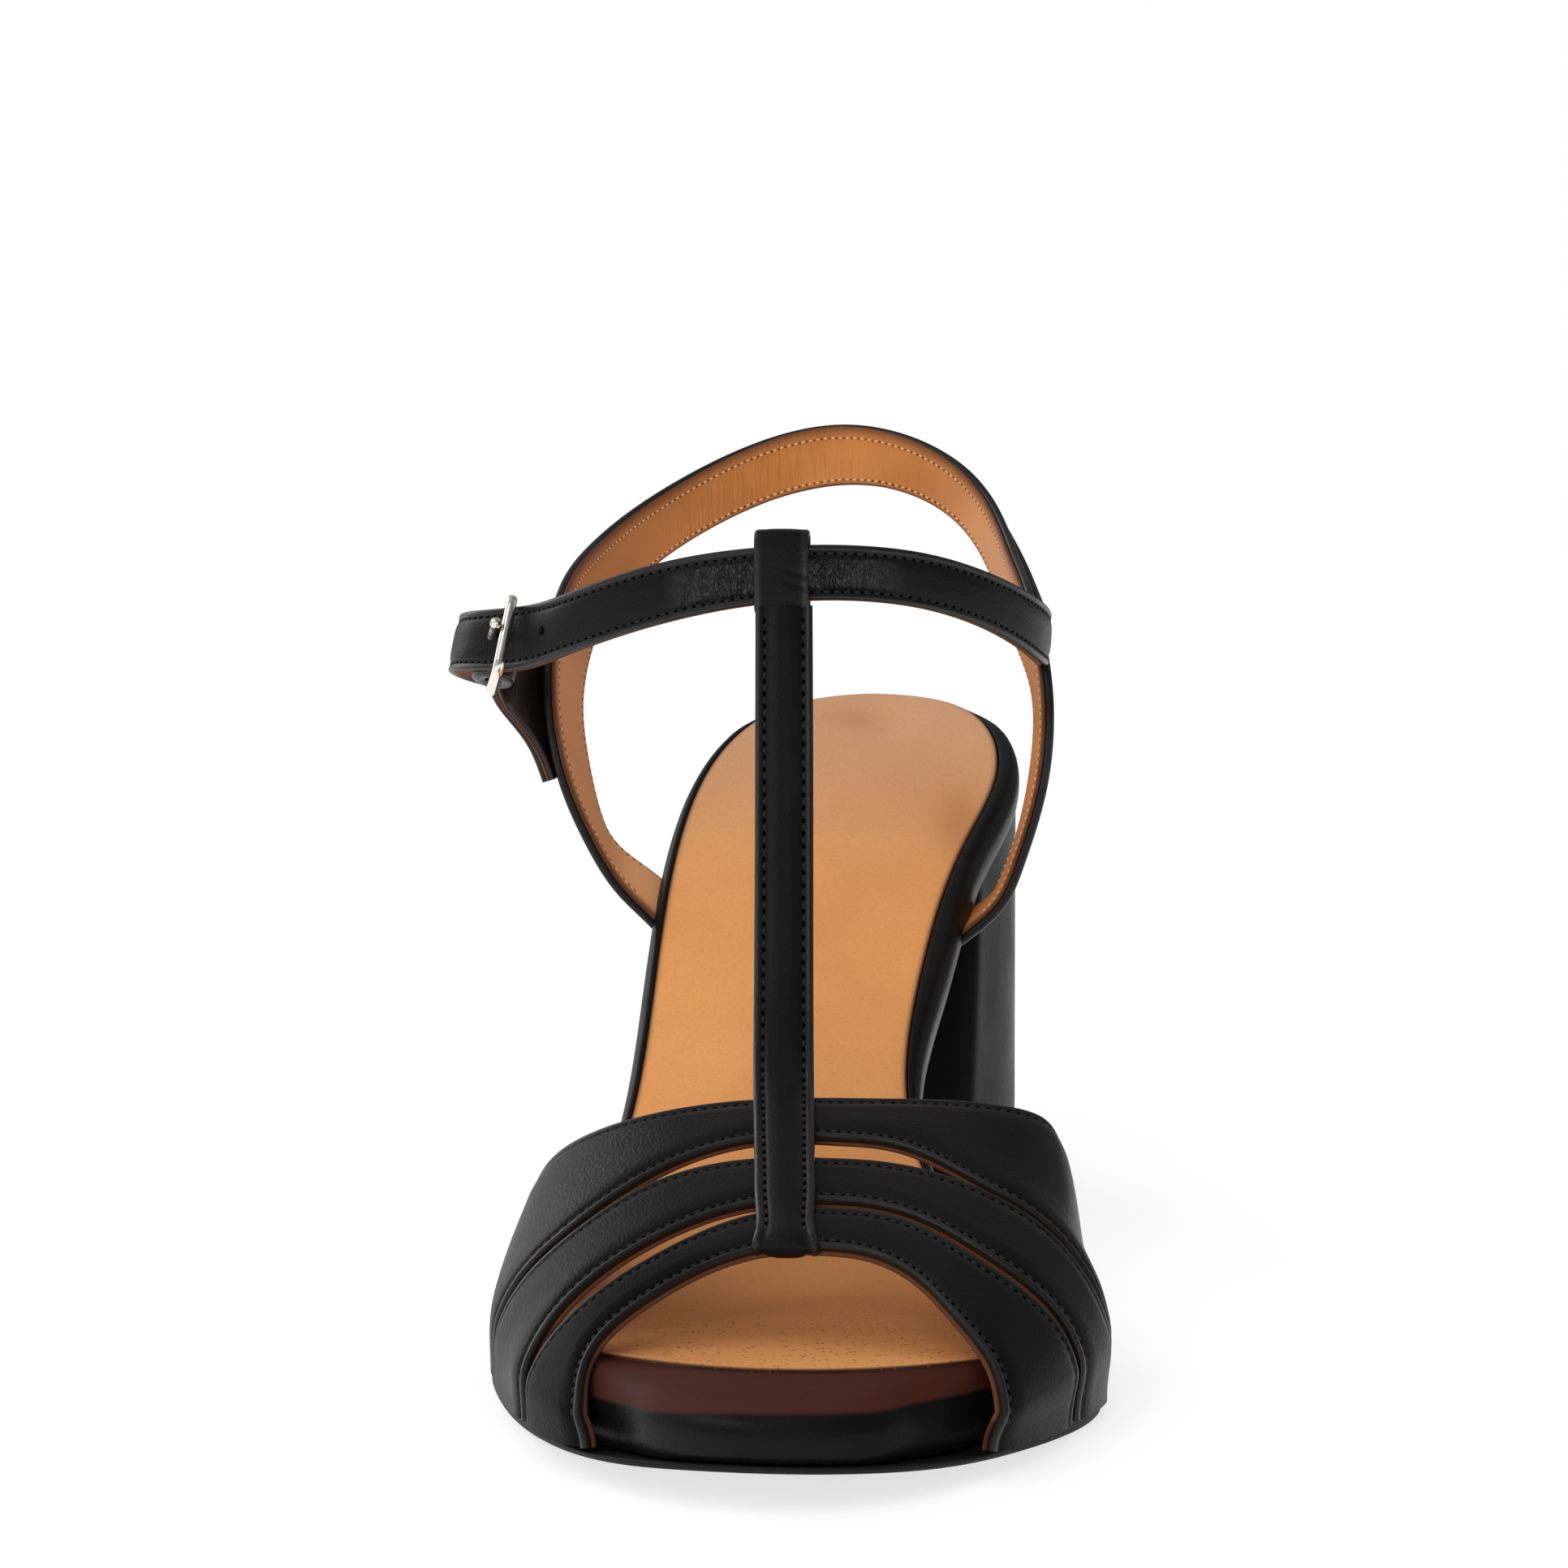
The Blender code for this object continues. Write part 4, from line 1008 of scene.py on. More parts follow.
class Sewing:
    """Sews rows of stitches with Geometry Nodes."""

    seed = 7
    slant = 0.12
    stitch_size = (0.95, 0.5, 0.42)
    inputs = (
        ("Places", "NodeSocketGeometry"),
        ("Stitch Size", "NodeSocketVector"),
        ("Slant", "NodeSocketFloat"),
        ("Thread", "NodeSocketMaterial"),
    )

    def __init__(self, bench: Workbench) -> None:
        """Builds the node tree once."""
        self.bench = bench
        self.tree = bpy.data.node_groups.new("sewn_stitches", "GeometryNodeTree")
        self.sockets: dict[str, str] = {}
        self.lay_out()

    def lay_out(self) -> None:
        """Lays out the tree: one thread loop on every point, turned along its seam."""
        tree = self.tree
        for name, kind in self.inputs:
            made = tree.interface.new_socket(name, in_out="INPUT", socket_type=kind)
            self.sockets[name] = made.identifier
        tree.interface.new_socket("Stitches", in_out="OUTPUT", socket_type="NodeSocketGeometry")
        start = add_node(tree, "NodeGroupInput").outputs
        bead = add_node(tree, "GeometryNodeMeshUVSphere", {"Segments": 8, "Rings": 5, "Radius": 0.5})
        axes = {0: self.vector_mark("stitch_normal"), 1: self.vector_mark("stitch_along")}
        turn = add_node(tree, "FunctionNodeAxesToRotation", axes, primary_axis="Z", secondary_axis="X")
        negative = add_node(tree, "ShaderNodeMath", {0: start["Slant"], 1: -1.0}, operation="MULTIPLY")
        limits = {2: negative.outputs[0], 3: start["Slant"], "Seed": self.seed}
        slant = add_node(tree, "FunctionNodeRandomValue", limits, data_type="FLOAT")
        lean = {"Axis": (0.0, 0.0, 1.0), "Angle": slant.outputs[1]}
        tilt = add_node(tree, "FunctionNodeAxisAngleToRotation", lean)
        turns = {0: turn.outputs[0], 1: tilt.outputs[0]}
        both = add_node(tree, "FunctionNodeRotateRotation", turns, rotation_space="LOCAL")
        sites = {
            "Points": start["Places"],
            "Instance": bead.outputs["Mesh"],
            "Rotation": both.outputs[0],
            "Scale": start["Stitch Size"],
        }
        made = add_node(tree, "GeometryNodeInstanceOnPoints", sites)
        for kind in ("GeometryNodeRealizeInstances", "GeometryNodeSetShadeSmooth"):
            made = add_node(tree, kind, {0: made.outputs[0]})
        dress = {"Geometry": made.outputs[0], "Material": start["Thread"]}
        made = add_node(tree, "GeometryNodeSetMaterial", dress)
        add_node(tree, "NodeGroupOutput", {0: made.outputs[0]})

    def sew_pair(
        self,
        name: str,
        rows: Sequence[StitchRow],
        thread: Material,
        hole_size: Triple = (0.5, 0.5, 0.3),
    ) -> list[Piece]:
        """Sews rows of stitches with a near-black bead between each two, put as painted shade in each needle
        hole.

        Args:
            name: First part of both pieces' names.
            rows: Rows of stitches.
            thread: Material of the thread.
            hole_size: Length, width and height of one needle hole in millimetres.

        Returns:
            The stitches and the needle holes.
        """
        holes = [StitchRow(r.points, r.normals, r.pitch, r.start + r.pitch / 2, r.end) for r in rows]
        hole = self.bench.finishes.needle_hole_shade
        return [
            self.sew(f"{name}_stitches", rows, self.stitch_size, thread),
            self.sew(f"{name}_needle_holes", holes, hole_size, hole),
        ]

    def vector_mark(self, name: str) -> Socket:
        """Named vector of the points."""
        made = add_node(
            self.tree, "GeometryNodeInputNamedAttribute", {"Name": name}, data_type="FLOAT_VECTOR"
        )
        return made.outputs["Attribute"]

    def sew(
        self, name: str, rows: Sequence[StitchRow], size: Triple, thread: Material
    ) -> Piece:
        """Sews rows into one piece.

        Args:
            name: Name of the piece.
            rows: Rows of stitches.
            size: Length, width and height of one stitch in millimetres.
            thread: Material of the thread.

        Returns:
            The stitches as a plain mesh object.
        """
        middle, along, normal = (np.vstack(column) for column in zip(*(row.places() for row in rows)))
        mesh = bpy.data.meshes.new(f"{name}_places")
        mesh.from_pydata([tuple(p) for p in self.bench.row.metres(middle)], [], [])
        for key, values in (("stitch_along", along), ("stitch_normal", normal)):
            layer = mesh.attributes.new(key, "FLOAT_VECTOR", "POINT")
            layer.data.foreach_set("vector", values.astype(np.float32).ravel())
        guide = bpy.data.objects.new(f"{name}_guide", mesh)
        bpy.context.scene.collection.objects.link(guide)
        modifier = guide.modifiers.new("sewing", "NODES")
        modifier.node_group = self.tree
        modifier[self.sockets["Stitch Size"]] = tuple(s * MM for s in size)
        modifier[self.sockets["Slant"]] = self.slant
        modifier[self.sockets["Thread"]] = thread
        bpy.context.view_layer.update()
        graph = bpy.context.evaluated_depsgraph_get()
        sewn = bpy.data.meshes.new_from_object(guide.evaluated_get(graph))
        sewn.name = name
        guide.modifiers.remove(modifier)
        bpy.data.objects.remove(guide)
        made = bpy.data.objects.new(name, sewn)
        bpy.context.scene.collection.objects.link(made)
        return made


def loft(loops: Array, closed: bool, capped: bool = True) -> Faces:
    """Faces over loops of equal size.

    Args:
        loops: Points as loops by points by 3.
        closed: True if the last loop joins the first.
        capped: True to close the end loops.

    Returns:
        Corner numbers of each face.
    """
    count, size = loops.shape[:2]
    faces = []
    for i in range(count if closed else count - 1):
        ahead = (i + 1) % count
        for j in range(size):
            after = (j + 1) % size
            faces.append((i * size + j, i * size + after, ahead * size + after, ahead * size + j))
    if capped and not closed:
        faces.append(tuple(range(size)))
        faces.append(tuple(range((count - 1) * size, count * size)))
    return faces


def wire(path: Array, radius: Array | float, across: Array, closed: bool, sides: int) -> Array:
    """Loops of a round wire along a path.

    Args:
        path: Points of the wire's middle.
        radius: Radius, or one for each point.
        across: Direction that the path never runs along.
        closed: True for a ring.
        sides: Points round the wire.

    Returns:
        Points as loops by points by 3.
    """
    if closed:
        along = np.roll(path, -1, axis=0) - np.roll(path, 1, axis=0)
    else:
        along = np.gradient(path, axis=0)
    along = unit(along)
    side = unit(np.cross(along, across))
    lift = np.cross(side, along)
    turn = np.linspace(0.0, 2 * math.pi, sides, endpoint=False)
    size = np.broadcast_to(np.asarray(radius, float), (len(path),))[:, None, None]
    cosine, sine = np.cos(turn)[None, :, None], np.sin(turn)[None, :, None]
    ring = side[:, None, :] * cosine + lift[:, None, :] * sine
    return path[:, None, :] + ring * size


# Sole, footbed, insole sock and heel


@dataclass
class PadRing:
    """One outline of a pad: a plan offset, a height, and the inner side's own offset where it differs."""

    offset: Reading | float
    height: Reading
    medial: Reading | None = None


class Pad:
    """Closed pad stacked from outlines, with a grid across its lower and upper faces."""

    def __init__(
        self, last: LastShape, rings: Sequence[PadRing], steps: int, columns: int, end_y: float | None = None
    ) -> None:
        """Lays out the outlines.

        Args:
            last: The last.
            rings: Outlines from the bottom up.
            steps: Steps from toe to heel.
            columns: Steps across the faces.
            end_y: Place of a straight cut across the heel end.
        """
        share = np.linspace(0.0, 1.0, steps + 1)
        ends = last.share_at(end_y) if end_y is not None else (1.0, 1.0)
        self.steps, self.columns = steps, columns
        blend = np.linspace(0.0, 1.0, columns + 1)[None, :, None]
        self.sheets = []
        for ring in rings:
            lateral = last.sides(ring.offset, share * ends[0])[0]
            medial = last.sides(ring.medial or ring.offset, share * ends[1])[1]
            if end_y is not None:
                for side in (lateral, medial):
                    side[-1, 1] = end_y
            plan = lateral[:, None, :] * (1 - blend) + medial[:, None, :] * blend
            self.sheets.append(np.dstack([plan, ring.height(plan[:, :, 1])]))

    def border(self) -> list[tuple[int, int]]:
        """Row and column of the points round a sheet's edge."""
        n, m = self.steps, self.columns
        down = [(i, 0) for i in range(n + 1)]
        over = [(n, j) for j in range(1, m)]
        back = [(i, m) for i in range(n, 0, -1)]
        return down + over + back

    def gather(self) -> tuple[Array, Faces]:
        """Points and faces of the pad."""
        edge = self.border()
        size, n, m = len(edge), self.steps, self.columns
        points = [np.array([sheet[i, j] for i, j in edge]) for sheet in self.sheets]
        faces = loft(np.array(points), False, capped=False)
        count = size * len(points)
        for number, sheet in ((0, self.sheets[0]), (len(self.sheets) - 1, self.sheets[-1])):
            name = {place: number * size + k for k, place in enumerate(edge)}
            for j in range(1, m + 1):
                name.setdefault((0, j), number * size)
            inside = [(i, j) for i in range(1, n) for j in range(1, m)]
            for k, place in enumerate(inside):
                name[place] = count + k
            points.append(np.array([sheet[i, j] for i, j in inside]))
            count += len(inside)
            for i in range(n):
                for j in range(m):
                    corners = (name[i, j], name[i + 1, j], name[i + 1, j + 1], name[i, j + 1])
                    kept = tuple(dict.fromkeys(corners))
                    if len(kept) > 2:
                        faces.append(kept)
        return np.vstack(points), faces


@dataclass
class SoleUnit:
    """Outsole, wrapped footbed, insole sock, block heel and its top piece."""

    bench: Workbench
    steps: int = 150
    columns: int = 24
    sole_columns: int = 12
    sole_round: float = 0.4
    sole_rim: Table = ((0.0, 0.3), (0.1, 0.1), (0.4, 0.0))
    outsole_end_gap: float = 0.7
    waist_edge: float = 1.2
    waist_edge_span: Pair = (84.0, 114.0)
    toe_edge: float = 1.5
    toe_edge_span: Pair = (16.0, 34.0)
    edge_round: float = 1.8
    toe_round: float = 3.6
    toe_round_span: Pair = (9.0, 24.0)
    toe_swell: float = 2.1
    toe_swell_span: Pair = (4.0, 11.0)
    under_edge: float = 0.9
    wall_rings: int = 15
    wall_gap: float = 0.15
    rim_pared: float = 0.7
    rim_pared_span: Pair = (203.0, 215.0)
    rim_margin: float = 0.1
    recess_rim: Table = ((0.0, 0.02), (0.08, 0.12), (0.1, 0.9))
    recess_start: Pair = (24.0, 30.0)
    recess_step: Pair = (1.0, 3.5)
    recess_depth: float = 1.0
    seat_recess: float = 0.8
    seat_recess_span: Pair = (150.0, 170.0)
    # Painted reflection of the tan sock on the wrap's top: its lower line, and where it ends behind the toe.
    roll_crest_z: float = 11.3
    roll_crest_bow: float = 0.0032
    reflection_end_y: float = 30.0
    roll_dull: float = 0.2
    roll_dull_spans: Table = ((6.0, 20.0), (34.0, 24.0))
    roll_bright: float = 0.22
    roll_bright_hump: Pair = (-16.0, 11.0)
    roll_bright_span: Pair = (24.0, 14.0)
    sock_rows: int = 170
    sock_columns: int = 36
    sock_hem: tuple[float, ...] = (0.0, 0.003, 0.007, 0.013)
    sock_border: float = 2.0
    sock_insets: Table = ((1.6, 194.0, 19.0), (2.1, 152.0, 23.0), (0.4, 57.0, 15.0))
    sock_taper: Pair = (222.0, 210.0)
    sock_front_y: float = 16.3
    sock_front_bow: float = 0.0165
    bow_fade: float = 5.0
    sock_thickness: float = 1.0
    sock_least: float = 0.4
    sock_proud: float = 0.05
    sock_gap: float = 0.3
    front_swell: Pair = (0.6, 7.0)
    hem_drop: Pair = (0.34, 0.4)
    hem_darkening: float = 0.5
    pores_span: Pair = (75.0, 35.0)
    # Painted sheen: the sock's seat is coloured paler towards the heel.
    seat_faded: float = 0.75
    seat_sheen_span: Pair = (150.0, 210.0)
    seat_dents: Table = (
        (-2.0, 196.0, 13.0, 24.0, 0.5),
        (13.0, 182.0, 4.2, 6.72, 0.7),
        (3.0, 207.0, 4.8, 7.68, 0.7),
    )
    # Painted shade in the seat's dents: place in x and y, reach in x and y, and weight.
    seat_dent_shade: Table = (
        (-2.0, 210.0, 6.0, 4.0, 0.15),
        (17.0, 178.0, 4.0, 9.0, 0.30),
        (9.0, 191.0, 9.0, 9.0, 0.06),
    )
    breast_top_y: float = 170.0
    breast_base_y: float = 166.0
    breast_corner: float = 1.6
    heel_base_flare: float = 1.2
    heel_flare_power: float = 1.6
    heel_belly: float = 4.2
    heel_waist: float = 1.6
    heel_back_pitch: float = 4.0
    heel_inset: float = 0.6
    heel_foot: tuple[float, ...] = (0.0, 0.006, 0.018)
    heel_foot_tuck: Pair = (0.35, 0.02)
    lift_height: float = 5.0
    lift_inset: float = 0.2
    lift_foot: Table = ((0.965, 0.0), (0.985, 0.12), (0.996, 0.45), (1.0, 0.9))
    lift_head: Table = ((1.0, 0.5), (0.992, 0.1), (0.97, 0.0))

    def build(self) -> None:
        """Builds and dresses the whole bottom."""
        self.build_outsole()
        self.build_footbed()
        self.build_sock()
        self.build_heel()
        self.build_top_piece()

    def build_outsole(self) -> None:
        """Thin rubber sole with a rounded edge."""
        last, radius = self.bench.last, self.sole_round
        rings = []

        def ring(inset: float, height: Reading) -> None:
            """Adds an outline at a distance inside the lip."""
            rings.append(PadRing(lambda y: last.sole_lip(y) - inset, height))

        for degrees in (-90.0, -60.0, -30.0, 0.0):
            turn = math.radians(degrees)
            drop = radius * (1 + math.sin(turn))
            ring(radius * (1 - math.cos(turn)), lambda y, d=drop: last.tread_height(y) + d)
        for inset, under in self.sole_rim:
            ring(inset, lambda y, u=under: self.sole_line(y) - u)
        end = self.breast_top_y - self.outsole_end_gap
        points, faces = Pad(last, rings, self.steps, self.sole_columns, end).gather()
        made = self.bench.piece("outsole_rubber", points, faces, self.bench.finishes.rubber, None, 60.0)
        self.bench.declare(made, Slot.BLACK_RUBBER, "outsole")

    def sole_line(self, y: Array) -> Array:
        """Height of the line between wrap and outsole, whose edge is pared thin at the toe and the waist."""
        waist = self.waist_edge * ramp(y, *self.waist_edge_span)
        toe = self.toe_edge * (1 - ramp(y, *self.toe_edge_span))
        return self.bench.last.outsole_top(y) - waist - toe

    def roll_out(self, y: Array) -> Array:
        """How far the padded toe roll swells out over the outsole."""
        return self.toe_swell * (1 - ramp(y, *self.toe_swell_span))

    def inner_border(self, y: Array) -> Array:
        """Width of the wrap beside the sock on the inner side, wider at the seat and the waist."""
        wider = sum(size * hump(y, place, reach) for size, place, reach in self.sock_insets)
        return self.sock_border + wider * ramp(y, *self.sock_taper)

    def rim_top(self, y: Array) -> Array:
        """Height of the footbed's rim, pared down behind the seat."""
        return self.bench.last.footbed_top(y) - self.rim_pared * ramp(y, *self.rim_pared_span)

    def rim_round(self, y: Array) -> Array:
        """Set-back of the footbed's rounded rim, fuller at the padded toe."""
        return self.toe_round + (self.edge_round - self.toe_round) * ramp(y, *self.toe_round_span)

    def under_round(self, y: Array) -> Array:
        """Set-back of the wrap where it turns in under the board."""
        return np.full(np.shape(y), self.under_edge)

    def sock_front(self, x: Array) -> Array:
        """Place of the bowed front edge of the sock."""
        return self.sock_front_y + self.sock_front_bow * np.asarray(x, float) ** 2

    def roll_crest(self, x: Array) -> Array:
        """Height of the line where the wrap's top, painted brown as a reflection of the tan sock, meets the
        black toe roll.
        """
        from_tip = np.asarray(x, float) - self.bench.last.toe_tip[0]
        return self.roll_crest_z - self.roll_crest_bow * from_tip**2

    def footbed_wall(self) -> list[PadRing]:
        """Outlines of the wrap round the board's edge, from the sole line up over the rim."""

        def height(share: float) -> Reading:
            """Height at a share of the way up the wall."""
            return lambda y: (self.sole_line(y) + self.wall_gap) * (1 - share) + self.rim_top(y) * share

        def outline(inset: float, around: Reading) -> Reading:
            """Offset of the wrap at a share of its set-back."""
            return lambda y: self.roll_out(y) - around(y) * inset

        rings = []
        for degrees in np.linspace(-90.0, 90.0, self.wall_rings):
            turn = math.radians(degrees)
            offset = outline(1 - math.cos(turn), self.under_round if degrees < 0 else self.rim_round)
            rings.append(PadRing(offset, height((1 + math.sin(turn)) / 2)))
        return rings

    def recess_wall(self) -> list[PadRing]:
        """Outlines of the recess for the sock, from the rim down."""

        def outline(border: Reading, past: float) -> Reading:
            """Offset of the recess inside the wrap's border."""
            gap, margin = self.sock_gap, self.rim_margin
            return lambda y: -np.maximum(border(y) - gap, self.rim_round(y) + margin) - past

        def height(drop: float) -> Reading:
            """Height at a depth under the rim, level with it at the toe."""
            return lambda y: self.rim_top(y) - drop * ramp(y, *self.recess_start)

        rings = []
        for past, drop in self.recess_rim:
            lateral = outline(lambda y: self.sock_border, past)
            rings.append(PadRing(lateral, height(drop), outline(self.inner_border, past)))
        return rings

    def build_footbed(self) -> None:
        """Leather-wrapped board with a padded toe roll and a recess for the sock."""
        last = self.bench.last
        pad = Pad(last, self.footbed_wall() + self.recess_wall(), self.steps, self.columns)
        floor = pad.sheets[-1]
        x, y = floor[:, :, 0], floor[:, :, 1]
        depth = self.recess_depth + self.seat_recess * ramp(y, *self.seat_recess_span)
        floor[:, :, 2] = last.footbed_top(y) - depth * ramp(y - self.sock_front(x), *self.recess_step)
        points, faces = pad.gather()
        marks = self.wrap_marks(*points.T)
        made = self.bench.piece("footbed_wrap", points, faces, self.bench.finishes.wrap, marks, 65.0)
        self.bench.declare(made, Slot.BLACK_LEATHER, "footbed")

    def wrap_marks(self, x: Array, y: Array, z: Array) -> Marks:
        """Marks of the wrap: its top painted brown as a reflection of the tan sock, and a toe roll brighter
        on its outer half.
        """
        # Painted reflection: the wrap above the roll's crest and ahead of the sock is coloured brown.
        above = np.minimum(z - self.roll_crest(x), self.reflection_end_y - y)
        dull_x, dull_y = self.roll_dull_spans
        dull = self.roll_dull * ramp(x, *dull_x) * ramp(y, *dull_y)
        bright = self.roll_bright * hump(x, *self.roll_bright_hump) * ramp(y, *self.roll_bright_span)
        return {"tint": np.clip(0.5 + above / REFLECTION_AND_SHADE_SPREAD, 0.0, 1.0), "polish": bright - dull}

    def sock_plan(self) -> Array:
        """Plan grid of the sock, from its bowed front edge to the heel."""
        last = self.bench.last
        hem = np.array(self.sock_hem)
        spread = np.concatenate([hem * 0.25, np.linspace(0.006, 1.0, self.sock_rows)])
        across = np.concatenate([hem, np.linspace(0.024, 0.976, self.sock_columns), 1 - hem[::-1]])
        share = np.linspace(0.0, 1.0, 4001)
        edges = []
        for side, offset in enumerate((-self.sock_border, lambda y: -self.inner_border(y))):
            border = last.sides(offset, share)[side]
            start = float(share[np.argmax(border[:, 1] > self.sock_front(border[:, 0]))])
            edges.append(last.sides(offset, start + (1 - start) * spread)[side])
        left, right = edges
        right[-1] = left[-1]
        blend = across[None, :, None]
        plan = left[:, None, :] * (1 - blend) + right[:, None, :] * blend
        fade = np.clip(1 - spread[:, None] * self.bow_fade, 0.0, 1.0) ** 2
        plan[:, :, 1] += (self.sock_front(plan[:1, :, 0]) - plan[:1, :, 1]) * fade
        return plan

    def build_sock(self) -> None:
        """Tan sock let into the footbed, stopping short of the toe roll."""
        last = self.bench.last
        plan = self.sock_plan()
        x, y = plan[:, :, 0], plan[:, :, 1]
        edge = self.edge_distance(plan)
        insole = last.insole_height(y)
        swell, reach = self.front_swell
        top = insole + self.sock_proud - patches(x, y, self.seat_dents) + swell * np.exp((y[:1] - y) / reach)
        drop, reach = self.hem_drop
        top -= drop * np.exp(-edge / reach)
        bottom = np.minimum(insole - self.sock_thickness, top - self.sock_least)
        points, faces = self.slab(plan, top, bottom)
        x, y = points[:, 0], points[:, 1]
        from_edge = np.concatenate([edge.ravel(), np.zeros(edge.size)])
        # Painted shade in the seat's dents.
        dent_shade = patches(x, y, self.seat_dent_shade)
        # Darker towards the sock's edge.
        raw = hump(from_edge, 0.0, self.hem_darkening)
        # Painted sheen on the seat, held back in the painted shade of the dents.
        faded = self.seat_faded * ramp(y, *self.seat_sheen_span) * (1 - 2 * dent_shade)
        pores = ramp(y, *self.pores_span)
        marks = {"pores": pores, "faded": faded, "raw_edge": np.clip(raw + dent_shade, 0.0, 1.0)}
        made = self.bench.piece("insole_leather", points, faces, self.bench.finishes.sock, marks, 60.0)
        self.bench.declare(made, Slot.TAN_LEATHER, "insole_sock")

    @staticmethod
    def edge_distance(plan: Array) -> Array:
        """Rough distance of each point of a plan grid from the grid's border."""
        across = np.linalg.norm(np.diff(plan, axis=1), axis=2)
        left = np.concatenate([np.zeros((len(plan), 1)), np.cumsum(across, axis=1)], axis=1)
        sides = np.minimum(left, left[:, -1:] - left)
        front = plan[:, :, 1] - plan[:1, :, 1]
        return np.minimum(sides, front)

    @staticmethod
    def slab(plan: Array, top: Array, bottom: Array) -> tuple[Array, Faces]:
        """Closed slab over a plan grid.

        Args:
            plan: Plan points by row and column.
            top: Height of the upper face.
            bottom: Height of the lower face.

        Returns:
            Points and faces.
        """
        rows, columns = plan.shape[:2]
        upper = np.dstack([plan, top]).reshape(-1, 3)
        lower = np.dstack([plan, bottom]).reshape(-1, 3)
        under = rows * columns
        faces = []
        for i in range(rows - 1):
            for j in range(columns - 1):
                near, far = i * columns + j, (i + 1) * columns + j
                quad = (near, far, far + 1, near + 1)
                faces.append(quad)
                faces.append(tuple(under + k for k in reversed(quad)))
        border = [(i, 0) for i in range(rows)] + [(rows - 1, j) for j in range(1, columns)]
        border += [(i, columns - 1) for i in range(rows - 2, -1, -1)]
        border += [(0, j) for j in range(columns - 2, 0, -1)]
        ring = [i * columns + j for i, j in border]
        for first, second in zip(ring, ring[1:] + ring[:1]):
            faces.append((first, second, under + second, under + first))
        return np.vstack([upper, lower]), faces

    def heel_outline(self, share: float, inset: float) -> Array:
        """Plan of the heel block: round back and straight breast.

        Args:
            share: Height from the base (0) to the seat (1).
            inset: Distance inside the footbed's edge.

        Returns:
            Points from the lateral breast corner, round the back, to the medial breast corner.
        """
        last = self.bench.last
        lateral, medial = last.sides(-inset, np.linspace(0.0, 1.0, 1201))
        breast = self.breast_base_y + (self.breast_top_y - self.breast_base_y) * share
        flare = self.heel_base_flare * (1 - share) ** self.heel_flare_power
        pitch = self.heel_back_pitch * (1 - share)
        turn = np.linspace(0.0, math.pi / 2, 48)
        halves = []
        for side, sign in ((lateral, -1.0), (medial, 1.0)):
            back = side[-1, 1]
            y = self.breast_top_y + (back - self.breast_top_y) * np.sin(turn)
            x = np.interp(y, np.maximum.accumulate(side[:, 1]), side[:, 0])
            x[-1] = side[-1, 0]
            reach = (y - self.breast_top_y) / (back - self.breast_top_y)
            lean = sign * flare * (self.heel_belly * reach * (1 - reach) - self.heel_waist * (1 - reach))
            moved = breast + (y - self.breast_top_y) * (back - pitch - breast) / (back - self.breast_top_y)
            halves.append(np.stack([x + lean, moved], axis=1))
        outline = np.vstack([halves[0], halves[1][-2::-1]])
        return self.eased_breast(outline)

    def eased_breast(self, outline: Array) -> Array:
        """Outline with its two breast corners rounded and points across the breast."""
        radius = self.breast_corner
        lateral, medial = outline[0], outline[-1]
        across = unit(medial - lateral)
        kept = outline[np.linalg.norm(outline - lateral, axis=1) > radius]
        kept = kept[np.linalg.norm(kept - medial, axis=1) > radius]
        turns = np.linspace(0.0, 1.0, 7)[:, None]
        rounds = []
        for start, corner, end in (
            (lateral + across * radius, lateral, kept[0]),
            (kept[-1], medial, medial - across * radius),
        ):
            rounds.append((1 - turns) ** 2 * start + 2 * turns * (1 - turns) * corner + turns**2 * end)
        breast = rounds[1][-1] + (rounds[0][0] - rounds[1][-1]) * np.linspace(0.0, 1.0, 14)[1:-1, None]
        return np.vstack([rounds[0][:-1], kept, rounds[1][1:], breast])

    def build_heel(self) -> None:
        """Leather-covered block heel."""
        last = self.bench.last
        base = self.lift_height + last.clearance
        shares = np.concatenate([self.heel_foot, np.linspace(0.04, 1.0, 22)])
        most, reach = self.heel_foot_tuck
        loops = []
        for share in shares:
            outline = self.heel_outline(float(share), self.heel_inset + most * (1 - ramp(share, 0.0, reach)))
            top = last.outsole_top(outline[:, 1])
            loops.append(np.column_stack([outline, base + (top - base) * share]))
        size = min(len(loop) for loop in loops)
        even = np.array([even_loop(loop, size) for loop in loops])
        made = self.bench.lofted("heel_cover", even, False, self.bench.finishes.heel, 60.0)
        self.bench.declare(made, Slot.BLACK_LEATHER, "heel")

    def build_top_piece(self) -> None:
        """Rubber top piece under the heel."""
        outline = self.heel_outline(0.0, self.heel_inset + self.lift_inset)
        middle = outline.mean(axis=0)
        loops = []
        head = [(shrink, self.lift_height - down) for shrink, down in self.lift_head]
        for shrink, height in (*self.lift_foot, *head):
            plan = middle + (outline - middle) * shrink
            loops.append(np.column_stack([plan, np.full(len(plan), height)]))
        made = self.bench.lofted("heel_top_piece", np.array(loops), False, self.bench.finishes.rubber, 60.0)
        self.bench.declare(made, Slot.BLACK_RUBBER, "heel_lift")


# Straps, with the weights and reaches in millimetres that they share

CROWN_REACH = 2.2
TROUGH = 0.42
EDGE_WEAR = 0.5
EDGE_REACH = 0.5
EDGE_POLISH = 0.45
RAW_EDGE = 0.42
# Width of the toe linings' dark edge, their raw edge widened as painted shade, and reach of the painted
# shade at the straps' feet.
TOE_RAW_EDGE_AND_SHADE = 1.1
FOOT_SHADE_REACH = 4.5
OUTER_FOOT_SHARE = 0.3


